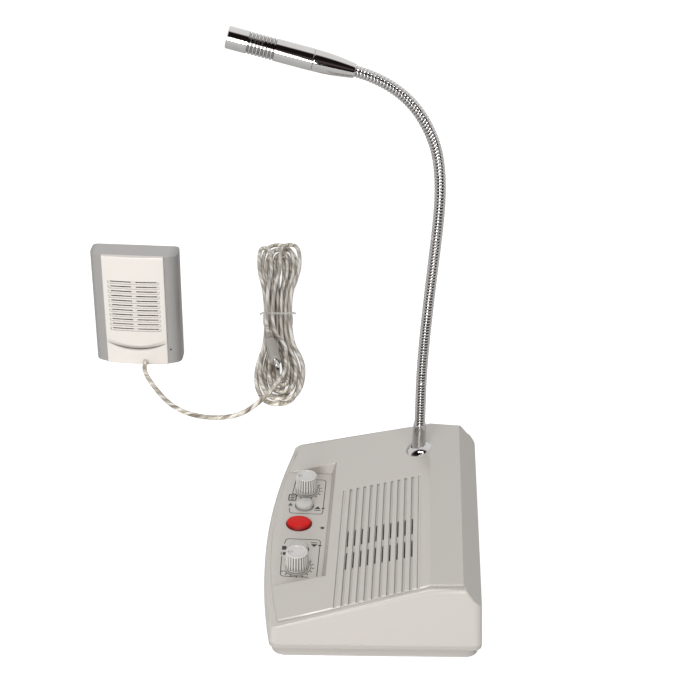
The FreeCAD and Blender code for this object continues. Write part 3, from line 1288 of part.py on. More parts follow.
def check_tube(name, edges, shape, radius):
    """Print a tube's length, its tightest bend and how its volume compares with its path."""
    length = sum(edge.Length for edge in edges)
    bends = [edge.Curve.Radius for edge in edges if hasattr(edge.Curve, "Radius")]
    share = shape.Volume / (math.pi * radius * radius * length)
    print(name, "length", round(length, 1), "least radius", round(min(bends), 2),
          "volume share", round(share, 4))


def least_gap(edges, radius):
    """Least gap of a wound tube to itself, measured on points a millimetre or so apart."""
    step = radius
    points, along, total = [], [], 0.0
    for edge in edges:
        count = max(2, int(edge.Length / step))
        for n in range(count):
            points.append(edge.valueAt(edge.getParameterByLength(edge.Length * n / count)))
            along.append(total + edge.Length * n / count)
        total += edge.Length
    cells = {}
    size = radius * 4
    for n, point in enumerate(points):
        cells.setdefault((int(point.x // size), int(point.y // size)), []).append(n)
    best, place_of = None, None
    for (i, j), members in cells.items():
        near = [n for di in (-1, 0, 1) for dj in (-1, 0, 1) for n in cells.get((i + di, j + dj), [])]
        for n in members:
            for k in near:
                if along[k] - along[n] > radius * 8:
                    gap = (points[k] - points[n]).Length
                    if best is None or gap < best:
                        best, place_of = gap, (points[n], points[k], along[n], along[k])
    print("closest", place_of)
    return best - 2 * radius


def rounded_path(points):
    """Straight runs joined by tangent arcs, each as large as its two runs allow."""
    edges, last = [], points[0]
    for before, corner, after in zip(points, points[1:], points[2:]):
        back, ahead = before - corner, after - corner
        short = min(back.Length, ahead.Length)
        bend = math.pi - back.getAngle(ahead)
        trim = ARC_SHARE * short
        start = corner + back.normalize() * trim
        end = corner + ahead.normalize() * trim
        inward = (start + end) / 2 - corner
        radius = trim / math.tan(bend / 2)
        middle = corner + inward.normalize() * (radius / math.cos(bend / 2) - radius)
        edges += [Part.LineSegment(last, start).toShape(), Part.Arc(start, middle, end).toShape()]
        last = end
    edges.append(Part.LineSegment(last, points[-1]).toShape())
    return edges


ARC_SHARE = 0.45


def make_cord():
    """The cord from the outer unit: its free run, its hank and the tie round the waist."""
    radius = float(S.cord_radius)
    stops = hank_stops()
    before = hank_point(float(S.lead_in_x) + float(S.lead_in_run), float(S.lead_in_y), stops[0][0].z)
    points = [V(*point) for point in LEAD_ROUTE] + [before, stops[0][0]]
    points[0] = V(-float(S.outer_x) + float(S.grommet_out), -float(S.outer_y) + float(S.grommet_side),
                  float(CORD_EXIT_Z))
    lead = rounded_path(points)
    tube = swept(lead, radius)
    check_tube("lead", lead, tube, radius)
    keep("cord_lead", feature("lead_tube", tube))
    edges = []
    for (start, start_way), (end, end_way) in zip(stops, stops[1:]):
        edges += biarc(start, start_way, end, end_way)
    wound = swept(edges, radius)
    check_tube("hank", edges, wound, radius)
    print("hank least gap", round(least_gap(edges, radius), 3))
    keep("cord_hank", feature("hank_tube", wound))


TIE_END_SHARE = 0.6


def make_tie():
    """A flat tie round the hank's waist, its two ends twisted together on top."""
    radius = float(S.cord_radius) + float(S.tie_gap)
    first, step = float(S.hank_first), float(S.hank_step)
    right = waist_side(first) + radius
    left = -waist_side(first + step) - radius
    high = layer_height(2) + float(S.waist_lift) + radius
    low = layer_height(0) + float(S.waist_lift) - radius
    thick = float(S.tie_thickness)
    wide = float(S.tie_width)
    at = hank_point(float(S.waist_x) - wide / 2, 0, 0)
    turn = FreeCAD.Rotation(V(0, 0, 1), float(S.hank_angle))
    outer = Part.makeBox(wide, right - left + 2 * thick, high - low + 2 * thick,
                         V(0, left - thick, low - thick))
    inner = Part.makeBox(wide * 3, right - left, high - low, V(-wide, left, low))
    along = [edge for edge in outer.Edges if abs(edge.tangentAt(edge.FirstParameter).x) > 0.9]
    ring_shape = outer.makeFillet(radius, along).cut(inner.makeFillet(radius / 2, [
        edge for edge in inner.Edges if abs(edge.tangentAt(edge.FirstParameter).x) > 0.9]))
    ends = [Part.makeBox(thick, float(S.tie_tail), thick,
                         V(wide / 2 + (side * TIE_END_SHARE - 1 / 2) * thick, (left + right) / 2, high + thick))
            for side in (-1, 1)]
    whole = ring_shape.fuse(ends)
    item = feature("tie_band", whole)
    item.Placement = FreeCAD.Placement(V(at.x, at.y, 0), turn)
    keep("hank_tie", item)


TIP_RING_SHARES = (0.38, 0.62)
TIP_END_SHARES = ((1, 1.6), (0.62, 1), (0.9, 0.5), (0.3, 0))


def make_plug():
    """The plug on the cord's end: ribbed relief and moulded body, and its metal tip."""
    reach, relief = S.relief_length + S.plug_length, S.relief_length
    cord = S.cord_radius + S.cord_floor_gap
    corners = [(as_size(0), as_size(0)), (cord, as_size(0))]
    pitch = relief / (S.relief_ribs + 1)
    for n in range(round(S.relief_ribs.number)):
        low = (n + 1) * pitch
        wide = cord + (S.relief_radius - cord) * ((n + 1) / S.relief_ribs)
        corners += [(wide, low - pitch / 2), (wide, low), (cord, low), (cord, low + S.relief_slot / 2)]
    edge = S.plug_collar
    corners += [(S.relief_radius, relief), (S.plug_radius, relief + edge * 2), (S.plug_radius, reach - edge),
                (S.plug_radius - edge, reach), (as_size(0), reach)]
    body = revolve("plug_body_turned", corners)
    tip, ring_depth = S.plug_tip_radius, S.plug_ring
    length = S.plug_tip_length
    steps = [(as_size(0), as_size(0)), (tip + S.plug_collar, as_size(0)), (tip + S.plug_collar, S.plug_collar),
             (tip, S.plug_collar)]
    for share in TIP_RING_SHARES:
        low = length * share
        steps += [(tip, low), (tip - ring_depth, low + ring_depth / 2),
                  (tip - ring_depth, low + S.plug_collar), (tip, low + S.plug_collar + ring_depth / 2)]
    steps += [(tip * wide, length - tip * back) for wide, back in TIP_END_SHARES]
    steps.append((as_size(0), length))
    point = revolve("plug_tip_turned", steps)
    turn = math.radians(float(S.plug_angle))
    start = hank_point(float(S.tail_end_x), -float(S.tail_end_y), plug_height())
    way = hank_way(math.cos(turn), math.sin(turn))
    seat = start + way * float(reach)
    print("plug seat", [round(c, 3) for c in seat], [round(c, 5) for c in way])
    heading = FreeCAD.Rotation(V(0, 0, 1), way)
    for label, item, lift in (("plug_body", body, as_size(0)), ("plug_tip", point, reach)):
        item.Placement = FreeCAD.Placement(start + way * float(lift), heading)
        for letter in "xyz":
            text = "%.9g + %.9g * %s" % (getattr(start, letter), getattr(way, letter), lift.text)
            item.setExpression("Placement.Base." + letter, text)
        keep(label, item)


make_upper_housing()
make_lower_housing()
make_console_fasteners()
make_boards()
make_controls()
make_jack("power_jack", S.power_jack_x, S.power_nose_radius, S.power_bore_radius, S.power_bore_depth)
make_jack("line_jack", S.line_jack_x, S.jack_nose_radius, S.plug_tip_radius + S.line_bore_gap,
          S.plug_tip_length)
make_console_speaker()
make_neck_fixing()
make_neck()
make_microphone()
make_outer_shell()
make_outer_panel()
make_outer_back()
make_outer_inside()
make_cord()
make_tie()
make_plug()
doc.recompute()

for item in doc.Objects:
    if "Invalid" in item.State or "Error" in item.State:
        raise RuntimeError("%s did not build: %s" % (item.Name, item.State))
for label, item in NODES.items():
    shape = item.Shape
    if shape.isNull() or not shape.isValid():
        raise RuntimeError("%s has no valid shape" % label)
    shape.exportStep("parts/%s.step" % label)
print("nodes", len(NODES))
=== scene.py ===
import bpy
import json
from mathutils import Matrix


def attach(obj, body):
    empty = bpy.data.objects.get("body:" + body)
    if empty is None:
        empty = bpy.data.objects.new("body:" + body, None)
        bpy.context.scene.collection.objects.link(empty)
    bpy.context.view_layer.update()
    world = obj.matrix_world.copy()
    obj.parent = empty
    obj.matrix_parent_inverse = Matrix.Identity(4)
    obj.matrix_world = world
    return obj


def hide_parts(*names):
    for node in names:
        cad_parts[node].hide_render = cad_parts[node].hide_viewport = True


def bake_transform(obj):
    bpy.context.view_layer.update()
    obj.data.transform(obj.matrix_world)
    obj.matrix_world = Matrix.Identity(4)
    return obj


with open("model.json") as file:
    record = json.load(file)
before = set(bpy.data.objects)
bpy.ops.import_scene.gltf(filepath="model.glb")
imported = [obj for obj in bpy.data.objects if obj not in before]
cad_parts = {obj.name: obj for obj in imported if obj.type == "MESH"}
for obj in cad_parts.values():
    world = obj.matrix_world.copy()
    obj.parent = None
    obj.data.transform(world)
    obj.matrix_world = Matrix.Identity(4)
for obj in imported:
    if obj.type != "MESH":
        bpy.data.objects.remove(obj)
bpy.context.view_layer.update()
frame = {"nodes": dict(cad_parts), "record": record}

# Teller window intercom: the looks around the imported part. A desk console with a gooseneck
# microphone, a small outer unit and the wound cord that joins them. Lengths are in metres.

import itertools
import json
import logging
import math
from dataclasses import dataclass, field
from enum import Enum
from typing import Callable, Optional, Sequence

import bmesh
import bpy
import numpy as np
from mathutils import Matrix, Vector

MM = 0.001

# Sizes in millimetres that a finish and its piece share: the outer unit's middle, and the lower
# level, the upper level and the bow of the smile in its face.
OUTER_MIDDLE = -192.0
SMILE = (12.2, 16.4, 45.0)

# How a CAD node's loose triangles are joined: what is one point, what is flat, and how sharply
# an outward edge turns to be eased.
ONE_POINT = 2e-6
FLAT = math.radians(0.6)
OUTWARD = math.radians(25)

LOG = logging.getLogger("intercom")


class Body(str, Enum):
    """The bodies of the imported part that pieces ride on."""

    BASE = "base"
    LEFT_KNOB = "left_knob"
    RIGHT_KNOB = "right_knob"
    TALK = "talk"
    LEFT_PUSH = "left_push"
    RIGHT_PUSH = "right_push"
    NECK_1 = "neck_1"
    NECK_2 = "neck_2"
    NECK_3 = "neck_3"
    NECK_4 = "neck_4"
    NECK_5 = "neck_5"


# ---- materials ----


class NodeSheet:
    """A material's nodes, with short ways to add one and to join two."""

    def __init__(self, name: str) -> None:
        """Start a material that has a principled shader and its output.

        Args:
            name: the material's name.
        """
        self.material = bpy.data.materials.new(name)
        self.material.use_nodes = True
        self.nodes = self.material.node_tree.nodes
        self.links = self.material.node_tree.links
        self.shader = next(n for n in self.nodes if n.type == "BSDF_PRINCIPLED")
        self.place = self.nodes.new("ShaderNodeTexCoord")

    def put(self, word: str, value: object) -> None:
        """Set one of the shader's sockets to a value or join an output to it.

        Args:
            word: the socket's name.
            value: a number, a colour or another node's output.
        """
        socket = self.shader.inputs[word]
        if isinstance(value, bpy.types.NodeSocket):
            self.links.new(value, socket)
        elif isinstance(value, (tuple, list)):
            socket.default_value = (*value[:3], 1.0)
        else:
            socket.default_value = value

    def add(self, kind: str, inputs: dict, **settings: object) -> bpy.types.Node:
        """Add a node, set its properties, and fill or join its inputs.

        Args:
            kind: the node's type.
            inputs: input names or numbers with values or outputs.
            settings: the node's own properties.

        Returns:
            The node.
        """
        node = self.nodes.new(kind)
        for word, value in settings.items():
            setattr(node, word, value)
        for word, value in inputs.items():
            socket = node.inputs[word]
            if isinstance(value, bpy.types.NodeSocket):
                self.links.new(value, socket)
            else:
                socket.default_value = value
        return node

    def where(self) -> bpy.types.NodeSocket:
        """The place on the object."""
        return self.place.outputs["Object"]

    def along(self) -> bpy.types.NodeSocket:
        """The piece's own map, along and around it."""
        return self.place.outputs["UV"]

    def stretched(self, scale: Sequence[float]) -> bpy.types.NodeSocket:
        """The place on the object, multiplied along each axis.

        Args:
            scale: the factor along each axis.

        Returns:
            The new place.
        """
        inputs = {"Vector": self.where(), "Scale": tuple(scale)}
        return self.add("ShaderNodeMapping", inputs).outputs["Vector"]

    def noise(self, per_metre: float, detail: float = 2.0, rough: float = 0.5,
              source: Optional[bpy.types.NodeSocket] = None) -> bpy.types.NodeSocket:
        """Smooth noise from 0 to 1.

        Args:
            per_metre: how many grains to a metre.
            detail: finer layers of noise.
            rough: how strong the finer layers are.
            source: the place it is read at, the object's own if none.

        Returns:
            The noise value.
        """
        inputs = {"Vector": source or self.where(), "Scale": per_metre, "Detail": detail,
                  "Roughness": rough}
        return self.add("ShaderNodeTexNoise", inputs).outputs["Fac"]

    def cells(self, per_metre: float,
              source: Optional[bpy.types.NodeSocket] = None) -> bpy.types.NodeSocket:
        """Distance to the nearest of many scattered points.

        Args:
            per_metre: how many points to a metre.
            source: the place it is read at, the object's own if none.

        Returns:
            The distance.
        """
        inputs = {"Vector": source or self.where(), "Scale": per_metre}
        return self.add("ShaderNodeTexVoronoi", inputs).outputs["Distance"]

    def spread(self, value: bpy.types.NodeSocket, low: float, high: float, to_low: float,
               to_high: float) -> bpy.types.NodeSocket:
        """A value carried in a straight line from one range to another.

        Args:
            value: the value.
            low: the range's start.
            high: the range's end.
            to_low: what the start becomes.
            to_high: what the end becomes.

        Returns:
            The new value.
        """
        inputs = {"Value": value, "From Min": low, "From Max": high, "To Min": to_low,
                  "To Max": to_high}
        return self.add("ShaderNodeMapRange", inputs).outputs["Result"]

    def blend(self, share: object, first: Sequence[float], second: object) -> bpy.types.NodeSocket:
        """A colour between two, by a share.

        Args:
            share: 0 for the first, 1 for the second.
            first: a colour or output.
            second: a colour or output.

        Returns:
            The colour.
        """
        node = self.nodes.new("ShaderNodeMix")
        node.data_type = "RGBA"
        for index, value in ((0, share), (6, first), (7, second)):
            if isinstance(value, bpy.types.NodeSocket):
                self.links.new(value, node.inputs[index])
            elif index:
                node.inputs[index].default_value = (*value[:3], 1.0)
            else:
                node.inputs[index].default_value = value
        return node.outputs[2]

    def compute(self, operation: str, *values: object) -> bpy.types.NodeSocket:
        """One step of arithmetic.

        Args:
            operation: its name.
            values: numbers or outputs.

        Returns:
            The result.
        """
        return self.add("ShaderNodeMath", dict(enumerate(values)), operation=operation).outputs[0]

    def relief(self, height: bpy.types.NodeSocket, depth: float, strength: float = 1.0,
               edge: Optional[bpy.types.NodeSocket] = None) -> bpy.types.NodeSocket:
        """A surface raised by a height.

        Args:
            height: from 0 to 1.
            depth: what 1 stands for, in metres.
            strength: how much of it shows.
            edge: the surface it is laid on.

        Returns:
            The surface's direction.
        """
        inputs = {"Height": height, "Distance": depth, "Strength": strength}
        if edge is not None:
            inputs["Normal"] = edge
        return self.add("ShaderNodeBump", inputs).outputs["Normal"]

    def faded(self, tone: bpy.types.NodeSocket, colour: Sequence[float],
              shade_fades: Sequence) -> bpy.types.NodeSocket:
        """A colour that gives way to another along the piece, used for painted shade.

        Args:
            tone: the colour.
            colour: the other colour.
            shade_fades: rows of an axis, two places along it in millimetres and the share at each.

        Returns:
            The colour.
        """
        axes = self.add("ShaderNodeSeparateXYZ", {0: self.where()}).outputs
        for axis, low, high, first, last in shade_fades:
            tone = self.blend(self.spread(axes[axis], low * MM, high * MM, first, last), tone,
                              colour)
        return tone

    def soft_edge(self, radius: float) -> bpy.types.NodeSocket:
        """A moulded edge's rounding.

        Args:
            radius: its radius.

        Returns:
            The surface's direction.
        """
        return self.add("ShaderNodeBevel", {"Radius": radius}, samples=4).outputs["Normal"]

    def openness(self, reach: float) -> bpy.types.NodeSocket:
        """How open the surface is: 1 on a face or an outward edge, less in a corner.

        Args:
            reach: how far it looks, in metres.

        Returns:
            The share that is open.
        """
        node = self.add("ShaderNodeAmbientOcclusion", {"Distance": reach}, samples=8,
                        only_local=True)
        return node.outputs["AO"]

    def lean(self, eased: bpy.types.NodeSocket) -> bpy.types.NodeSocket:
        """How far an edge's rounding leans from its face: one less the two directions' product.

        Args:
            eased: the rounded surface's direction.

        Returns:
            0 on a face, about 0.3 on an edge.
        """
        own = self.add("ShaderNodeNewGeometry", {}).outputs["Normal"]
        product = self.add("ShaderNodeVectorMath", {0: eased, 1: own}, operation="DOT_PRODUCT")
        return self.compute("SUBTRACT", 1.0, product.outputs["Value"])


@dataclass(frozen=True)
class Finish:
    """What all finishes share: a name, a colour and how rough the surface is."""

    name: str
    colour: tuple
    rough: float = 0.4
    edge: float = 0.0

    def material(self) -> bpy.types.Material:
        """The finish's material, made once."""
        known = bpy.data.materials.get(self.name)
        return known if known is not None else self.make()

    def make(self) -> bpy.types.Material:
        """Make the material."""
        raise NotImplementedError

    def sheet(self) -> NodeSheet:
        """A new sheet of nodes for this finish."""
        return NodeSheet(self.name)


@dataclass(frozen=True)
class PaintedPlastic(Finish):
    """Moulded plastic under a silver paint: fine flakes, a soft grain and slightly uneven gloss."""

    flake: float = 0.05
    metal: float = 0.12
    grain: float = 12e-6
    # How strong the painted highlight along outward edges is, and the painted shade in corners,
    # which looks as far as the reach.
    wear_and_highlight: float = 0.7
    corner_shade: float = 0.5
    reach: float = 0.0012
    shade_fades: tuple = ()

    def mark(self, sheet: NodeSheet, tone: bpy.types.NodeSocket) -> bpy.types.NodeSocket:
        """What the paint shows besides its own colour: painted shade that darkens it along an axis.
        """
        return sheet.faded(tone, tuple(0.2 * c for c in self.colour), self.shade_fades)

    def make(self) -> bpy.types.Material:
        """Flakes are small scattered cells; the colour drifts by a few percent over centimetres.

        The colour is lighter along outward edges, a painted highlight, and darker in the corners,
        painted shade.
        """
        sheet = self.sheet()
        flakes = sheet.spread(sheet.cells(4200.0), 0.1, 0.7, 1.0, 0.0)
        drift = sheet.noise(38.0, 3.0)
        dark = tuple(c * (1 - self.flake) for c in self.colour)
        light = tuple(min(1.0, c * (1 + self.flake)) for c in self.colour)
        tone = sheet.blend(flakes, dark, light)
        tone = sheet.blend(sheet.spread(drift, 0.3, 0.7, 0.0, 0.25), tone, self.colour)
        tone = self.mark(sheet, tone)
        edge = sheet.soft_edge(self.edge) if self.edge else None
        if edge is not None:
            free = sheet.openness(self.reach)
            # Painted highlight: open outward edges are lightened.
            edge_highlight = sheet.compute("MULTIPLY",
                                   sheet.spread(sheet.lean(edge), 0.015, 0.12, 0.0, self.wear_and_highlight),
                                   sheet.spread(free, 0.8, 0.97, 0.0, 1.0))
            tone = sheet.blend(edge_highlight, tone, tuple(0.35 * c + 0.62 for c in self.colour))
            # Painted shade: corners and creases, which the openness finds, are darkened.
            corner = sheet.spread(free, 0.45, 0.92, self.corner_shade, 0.0)
            tone = sheet.blend(corner, tone, tuple(0.12 * c for c in self.colour))
        sheet.put("Base Color", tone)
        sheet.put("Metallic", self.metal)
        uneven = sheet.spread(sheet.noise(900.0, 2.0), 0.3, 0.7, self.rough - 0.04,
                              self.rough + 0.05)
        sheet.put("Roughness", uneven)
        sheet.put("Normal", sheet.relief(sheet.noise(3200.0, 3.0), self.grain, 0.6, edge))
        return sheet.material


@dataclass(frozen=True)
class FacePaint(PaintedPlastic):
    """The outer unit's light paint, greyer in the smile's scoop, which is painted shade.

    The smile gives its lower and upper level, its bow and its half width, and the middle its
    place across, all in millimetres.
    """

    smile: tuple = (*SMILE, 24.0)
    middle: float = OUTER_MIDDLE
    grey: float = 0.62

    def mark(self, sheet: NodeSheet, tone: bpy.types.NodeSocket) -> bpy.types.NodeSocket:
        """The share of grey, painted shade, grows down from the smile's upper level and falls off
        across it.

        The level is the height less the bow's sag: the bow less the root of its square less the
        square of the place across.
        """
        low, high, bow, half = (v * MM for v in self.smile)
        axes = sheet.add("ShaderNodeSeparateXYZ", {0: sheet.where()}).outputs
        across = sheet.compute("SUBTRACT", axes[1], self.middle * MM)
        square = sheet.compute("MULTIPLY", across, across)
        rest = sheet.compute("SQRT", sheet.compute("SUBTRACT", bow ** 2, square))
        sag = sheet.compute("SUBTRACT", bow, rest)
        level = sheet.compute("SUBTRACT", axes[2], sag)
        share = sheet.compute("POWER", sheet.spread(level, low, high, 1.0, 0.0), 0.7)
        share = sheet.compute("MULTIPLY", share, sheet.compute("GREATER_THAN", level, low))
        share = sheet.compute("MULTIPLY", share,
                              sheet.spread(square, 0.0, half ** 2, self.grey, 0.0))
        # Painted shade: the scoop is darkened towards grey.
        return sheet.blend(share, tone, tuple(0.25 * c for c in self.colour))


@dataclass(frozen=True)
class MouldedPlastic(Finish):
    """Plain coloured plastic with a faint moulded grain."""

    shine: float = 0.5
    grain: float = 8e-6
    shade_fades: tuple = ()

    def make(self) -> bpy.types.Material:
        """The colour drifts a little and the gloss breaks up where fingers rub."""
        sheet = self.sheet()
        drift = sheet.spread(sheet.noise(120.0, 4.0), 0.35, 0.7, 0.0, 1.0)
        wear_and_highlight = tuple(min(1.0, c * 1.08 + 0.004) for c in self.colour)
        tone = sheet.blend(drift, self.colour, wear_and_highlight)
        # Painted shade: the colour darkens along an axis, as towards the talk cap's foot.
        sheet.put("Base Color", sheet.faded(tone, tuple(0.3 * c for c in self.colour), self.shade_fades))
        sheet.put("Roughness", sheet.spread(drift, 0.0, 1.0, self.rough - 0.03, self.rough + 0.06))
        sheet.put("Specular IOR Level", self.shine)
        edge = sheet.soft_edge(self.edge) if self.edge else None
        sheet.put("Normal", sheet.relief(sheet.noise(2600.0, 2.0), self.grain, 0.5, edge))
        return sheet.material


@dataclass(frozen=True)
class BareMetal(Finish):
    """Polished, turned or rolled metal with faint marks of its making."""

    marks: float = 300.0
    stretch: tuple = (1.0, 1.0, 1.0)
    uneven: float = 0.04
    depth: float = 2e-6
    corner_shade: float = 0.0

    def make(self) -> bpy.types.Material:
        """Marks are noise drawn out along one axis, in the roughness and as a very low relief."""
        sheet = self.sheet()
        marks = sheet.noise(self.marks, 4.0, 0.6, sheet.stretched(self.stretch))
        dull = tuple(c * 0.93 for c in self.colour)
        tone = sheet.blend(sheet.spread(marks, 0.35, 0.7, 0.0, 1.0), self.colour, dull)
        # Painted shade: corners and grooves are darkened.
        if self.corner_shade:
            corner = sheet.spread(sheet.openness(1.2 * MM), 0.55, 0.96, self.corner_shade, 0.0)
            tone = sheet.blend(corner, tone, tuple(0.06 * c for c in self.colour))
        sheet.put("Base Color", tone)
        sheet.put("Metallic", 1.0)
        low, high = max(0.02, self.rough - self.uneven), self.rough + self.uneven
        sheet.put("Roughness", sheet.spread(marks, 0.3, 0.7, low, high))
        edge = sheet.soft_edge(self.edge) if self.edge else None
        sheet.put("Normal", sheet.relief(marks, self.depth, 0.4, edge))
        return sheet.material


@dataclass(frozen=True)
class BoardFinish(Finish):
    """Circuit board: solder mask over copper tracks."""

    copper: tuple = (0.35, 0.42, 0.12)

    def make(self) -> bpy.types.Material:
        """Tracks are thin bands where a stretched noise crosses its middle value."""
        sheet = self.sheet()
        wander = sheet.noise(140.0, 1.0, 0.2, sheet.stretched((1.0, 0.35, 1.0)))
        band = sheet.compute("ABSOLUTE", sheet.compute("SUBTRACT", wander, 0.5))
        track = sheet.spread(band, 0.012, 0.02, 1.0, 0.0)
        sheet.put("Base Color", sheet.blend(track, self.colour, self.copper))
        sheet.put("Roughness", self.rough)
        sheet.put("Normal", sheet.relief(track, 30e-6))
        return sheet.material


@dataclass(frozen=True)
class PaperCone(Finish):
    """Pressed paper of a speaker's cone, with fibres."""

    def make(self) -> bpy.types.Material:
        """Fibres are two layers of drawn-out noise."""
        sheet = self.sheet()
        fibre = sheet.noise(1500.0, 5.0, 0.7, sheet.stretched((1.0, 0.2, 1.0)))
        light = tuple(c * 1.9 for c in self.colour)
        sheet.put("Base Color",
                  sheet.blend(sheet.spread(fibre, 0.4, 0.7, 0.0, 1.0), self.colour, light))
        sheet.put("Roughness", self.rough)
        sheet.put("Normal", sheet.relief(fibre, 40e-6))
        return sheet.material


@dataclass(frozen=True)
class ClearCordFinish(Finish):
    """Clear sheath over two twisted bundles of silvery wire."""

    # bright is the painted glints' colour; dark is the dark wire's, and the colour of the painted
    # shade at the sheath's sides.
    bright: tuple = (0.97, 0.94, 0.87)
    dark: tuple = (0.25, 0.21, 0.165)
    length: float = 3.63
    lay: float = 0.03

    def make(self) -> bpy.types.Material:
        """Two twisted bundles: a wave of length along the cord plus the angle around it.

        Patches of dark and light wire follow noise drawn out along the twist, the brightest of them
        painted glints, and the sheath's sides are darker by their angle to the view, painted shade.
        """
        sheet = self.sheet()
        parts = sheet.add("ShaderNodeSeparateXYZ", {0: sheet.along()})
        run = sheet.compute("MULTIPLY", parts.outputs[0], self.length / self.lay)
        twist = sheet.compute("ADD", run, parts.outputs[1])
        wave = sheet.compute("SINE", sheet.compute("MULTIPLY", twist, 2 * math.pi))
        spot = sheet.add("ShaderNodeCombineXYZ", {0: run, 1: sheet.compute("MULTIPLY", twist, 2.4)})
        patch = sheet.noise(1.5, 2.0, 0.55, spot.outputs[0])
        mixed = sheet.compute("ADD", sheet.compute("MULTIPLY", wave, 0.05), patch)
        tone = sheet.blend(sheet.spread(mixed, 0.36, 0.56, 0.0, 1.0), self.dark, self.colour)
        # Painted highlight: the brightest patches are glints on the wire.
        glint = sheet.spread(mixed, 0.52, 0.62, 0.0, 1.0)
        tone = sheet.blend(glint, tone, self.bright)
        # Painted shade: the sheath darkens towards its sides by their angle to the view.
        side = sheet.add("ShaderNodeLayerWeight", {"Blend": 0.5}).outputs["Facing"]
        sheet.put("Base Color",
                  sheet.blend(sheet.spread(side, 0.5, 0.97, 0.0, 0.7), tone, self.dark))
        sheet.put("Metallic", 0.1)
        sheet.put("Roughness", sheet.spread(patch, 0.3, 0.7, 0.28, 0.5))
        sheet.put("Coat Weight", 0.9)
        sheet.put("Coat Roughness", 0.08)
        sheet.put("Normal", sheet.relief(wave, 40e-6, 0.5))
        return sheet.material


@dataclass(frozen=True)
class ClearFilm(Finish):
    """Thin clear or milky plastic, as the tie's."""

    def make(self) -> bpy.types.Material:
        """Milky where noise is high, with a gloss."""
        sheet = self.sheet()
        cloud = sheet.noise(800.0, 3.0)
        milk = tuple(min(1.0, c * 1.15) for c in self.colour)
        sheet.put("Base Color", sheet.blend(cloud, self.colour, milk))
        sheet.put("Roughness", self.rough)
        sheet.put("Transmission Weight", 0.35)
        sheet.put("Normal", sheet.relief(cloud, 40e-6))
        return sheet.material


@dataclass(frozen=True)
class Ink(Finish):
    """Printed ink, slightly uneven."""

    def make(self) -> bpy.types.Material:
        """The ink thins where a fine noise is high."""
        sheet = self.sheet()
        thin = sheet.spread(sheet.noise(5200.0, 2.0), 0.5, 0.75, 0.0, 0.4)
        sheet.put("Base Color",
                  sheet.blend(thin, self.colour, tuple(c * 2 + 0.02 for c in self.colour)))
        sheet.put("Roughness", self.rough)
        return sheet.material


class Finishes:
    """Every finish of the part."""

    CONSOLE = PaintedPlastic("console_paint", (0.60, 0.565, 0.525), 0.32, 0.0006, flake=0.02,
                             grain=4e-6)
    BASE = PaintedPlastic("base_paint", (0.50, 0.47, 0.435), 0.37, 0.0006, flake=0.02, grain=4e-6)
    # Painted shade: the strips darken towards their outer edges.
    OUTER_STRIP = PaintedPlastic("strip_paint", (0.47, 0.455, 0.44), 0.32, 0.0005, flake=0.02,
                                 metal=0.4,
                                 grain=4e-6, wear_and_highlight=0.3,
                                 shade_fades=((1, -224.6, -221.0, 0.35, 0.0),
                                        (1, -166.5, -159.6, 0.0, 0.45)))
    # Painted shade greys the smile's scoop and darkens the slots' and rims' corners; a faint
    # painted highlight lightens the edges.
    OUTER_LIGHT = FacePaint("panel_paint", (0.88, 0.83, 0.775), 0.38, 0.00015, flake=0.015,
                            metal=0.05,
                            grain=4e-6, wear_and_highlight=0.2, corner_shade=0.9)
    # Painted shade: the knob's flutes darken towards the panel.
    KNOB = PaintedPlastic("knob_paint", (0.70, 0.68, 0.65), 0.3, 0.0003, flake=0.01, grain=1e-6,
                          wear_and_highlight=0.8, corner_shade=0.9, reach=0.0018, shade_fades=((2, 22.6, 26.2, 0.6, 0.0),))
    RUBBER = MouldedPlastic("sole_rubber", (0.03, 0.03, 0.03), 0.7, shine=0.3, grain=30e-6)
    STEEL = BareMetal("plated_steel", (0.62, 0.61, 0.6), 0.28, marks=900.0, stretch=(1.0, 1.0, 0.1))
    CHROME = BareMetal("bright_chrome", (0.55, 0.545, 0.54), 0.05, marks=200.0, uneven=0.02)
    # Painted shade darkens the neck's grooves and the head's ring grooves.
    NECK = BareMetal("neck_chrome", (0.64, 0.63, 0.62), 0.07, marks=600.0, uneven=0.03, corner_shade=0.95)
    HEAD = BareMetal("head_chrome", (0.62, 0.61, 0.60), 0.06, marks=160.0, uneven=0.03, corner_shade=0.95)
    # Painted shade: the talk cap darkens towards its foot.
    RED = MouldedPlastic("talk_cap_red", (0.69, 0.012, 0.010), 0.40, shine=0.2,
                         shade_fades=((2, 22.9, 24.6, 1.0, 0.0),))
    BLACK = MouldedPlastic("black_moulding", (0.025, 0.025, 0.027), 0.45, edge=0.0003)
    WHITE = MouldedPlastic("white_moulding", (0.78, 0.78, 0.76), 0.4, edge=0.0003)
    LAMP = MouldedPlastic("lamp_lens", (0.05, 0.012, 0.012), 0.12, shine=0.7)
    BOARD = BoardFinish("board_mask", (0.02, 0.13, 0.05), 0.35)
    CONE = PaperCone("pressed_paper", (0.02, 0.02, 0.02), 0.85)
    MAGNET = BareMetal("magnet_iron", (0.1, 0.1, 0.11), 0.45, marks=500.0)
    CAN = MouldedPlastic("can_sleeve", (0.03, 0.04, 0.11), 0.3)
    CORD = ClearCordFinish("cord_sheath", (0.72, 0.65, 0.545))
    TIE = ClearFilm("tie_film", (0.72, 0.71, 0.66), 0.3)
    GROMMET = MouldedPlastic("grommet_grey", (0.5, 0.49, 0.47), 0.5)
    PLUG = MouldedPlastic("plug_grey", (0.40, 0.37, 0.33), 0.42, edge=0.0003)
    INK = Ink("panel_ink", (0.02, 0.02, 0.02), 0.5)


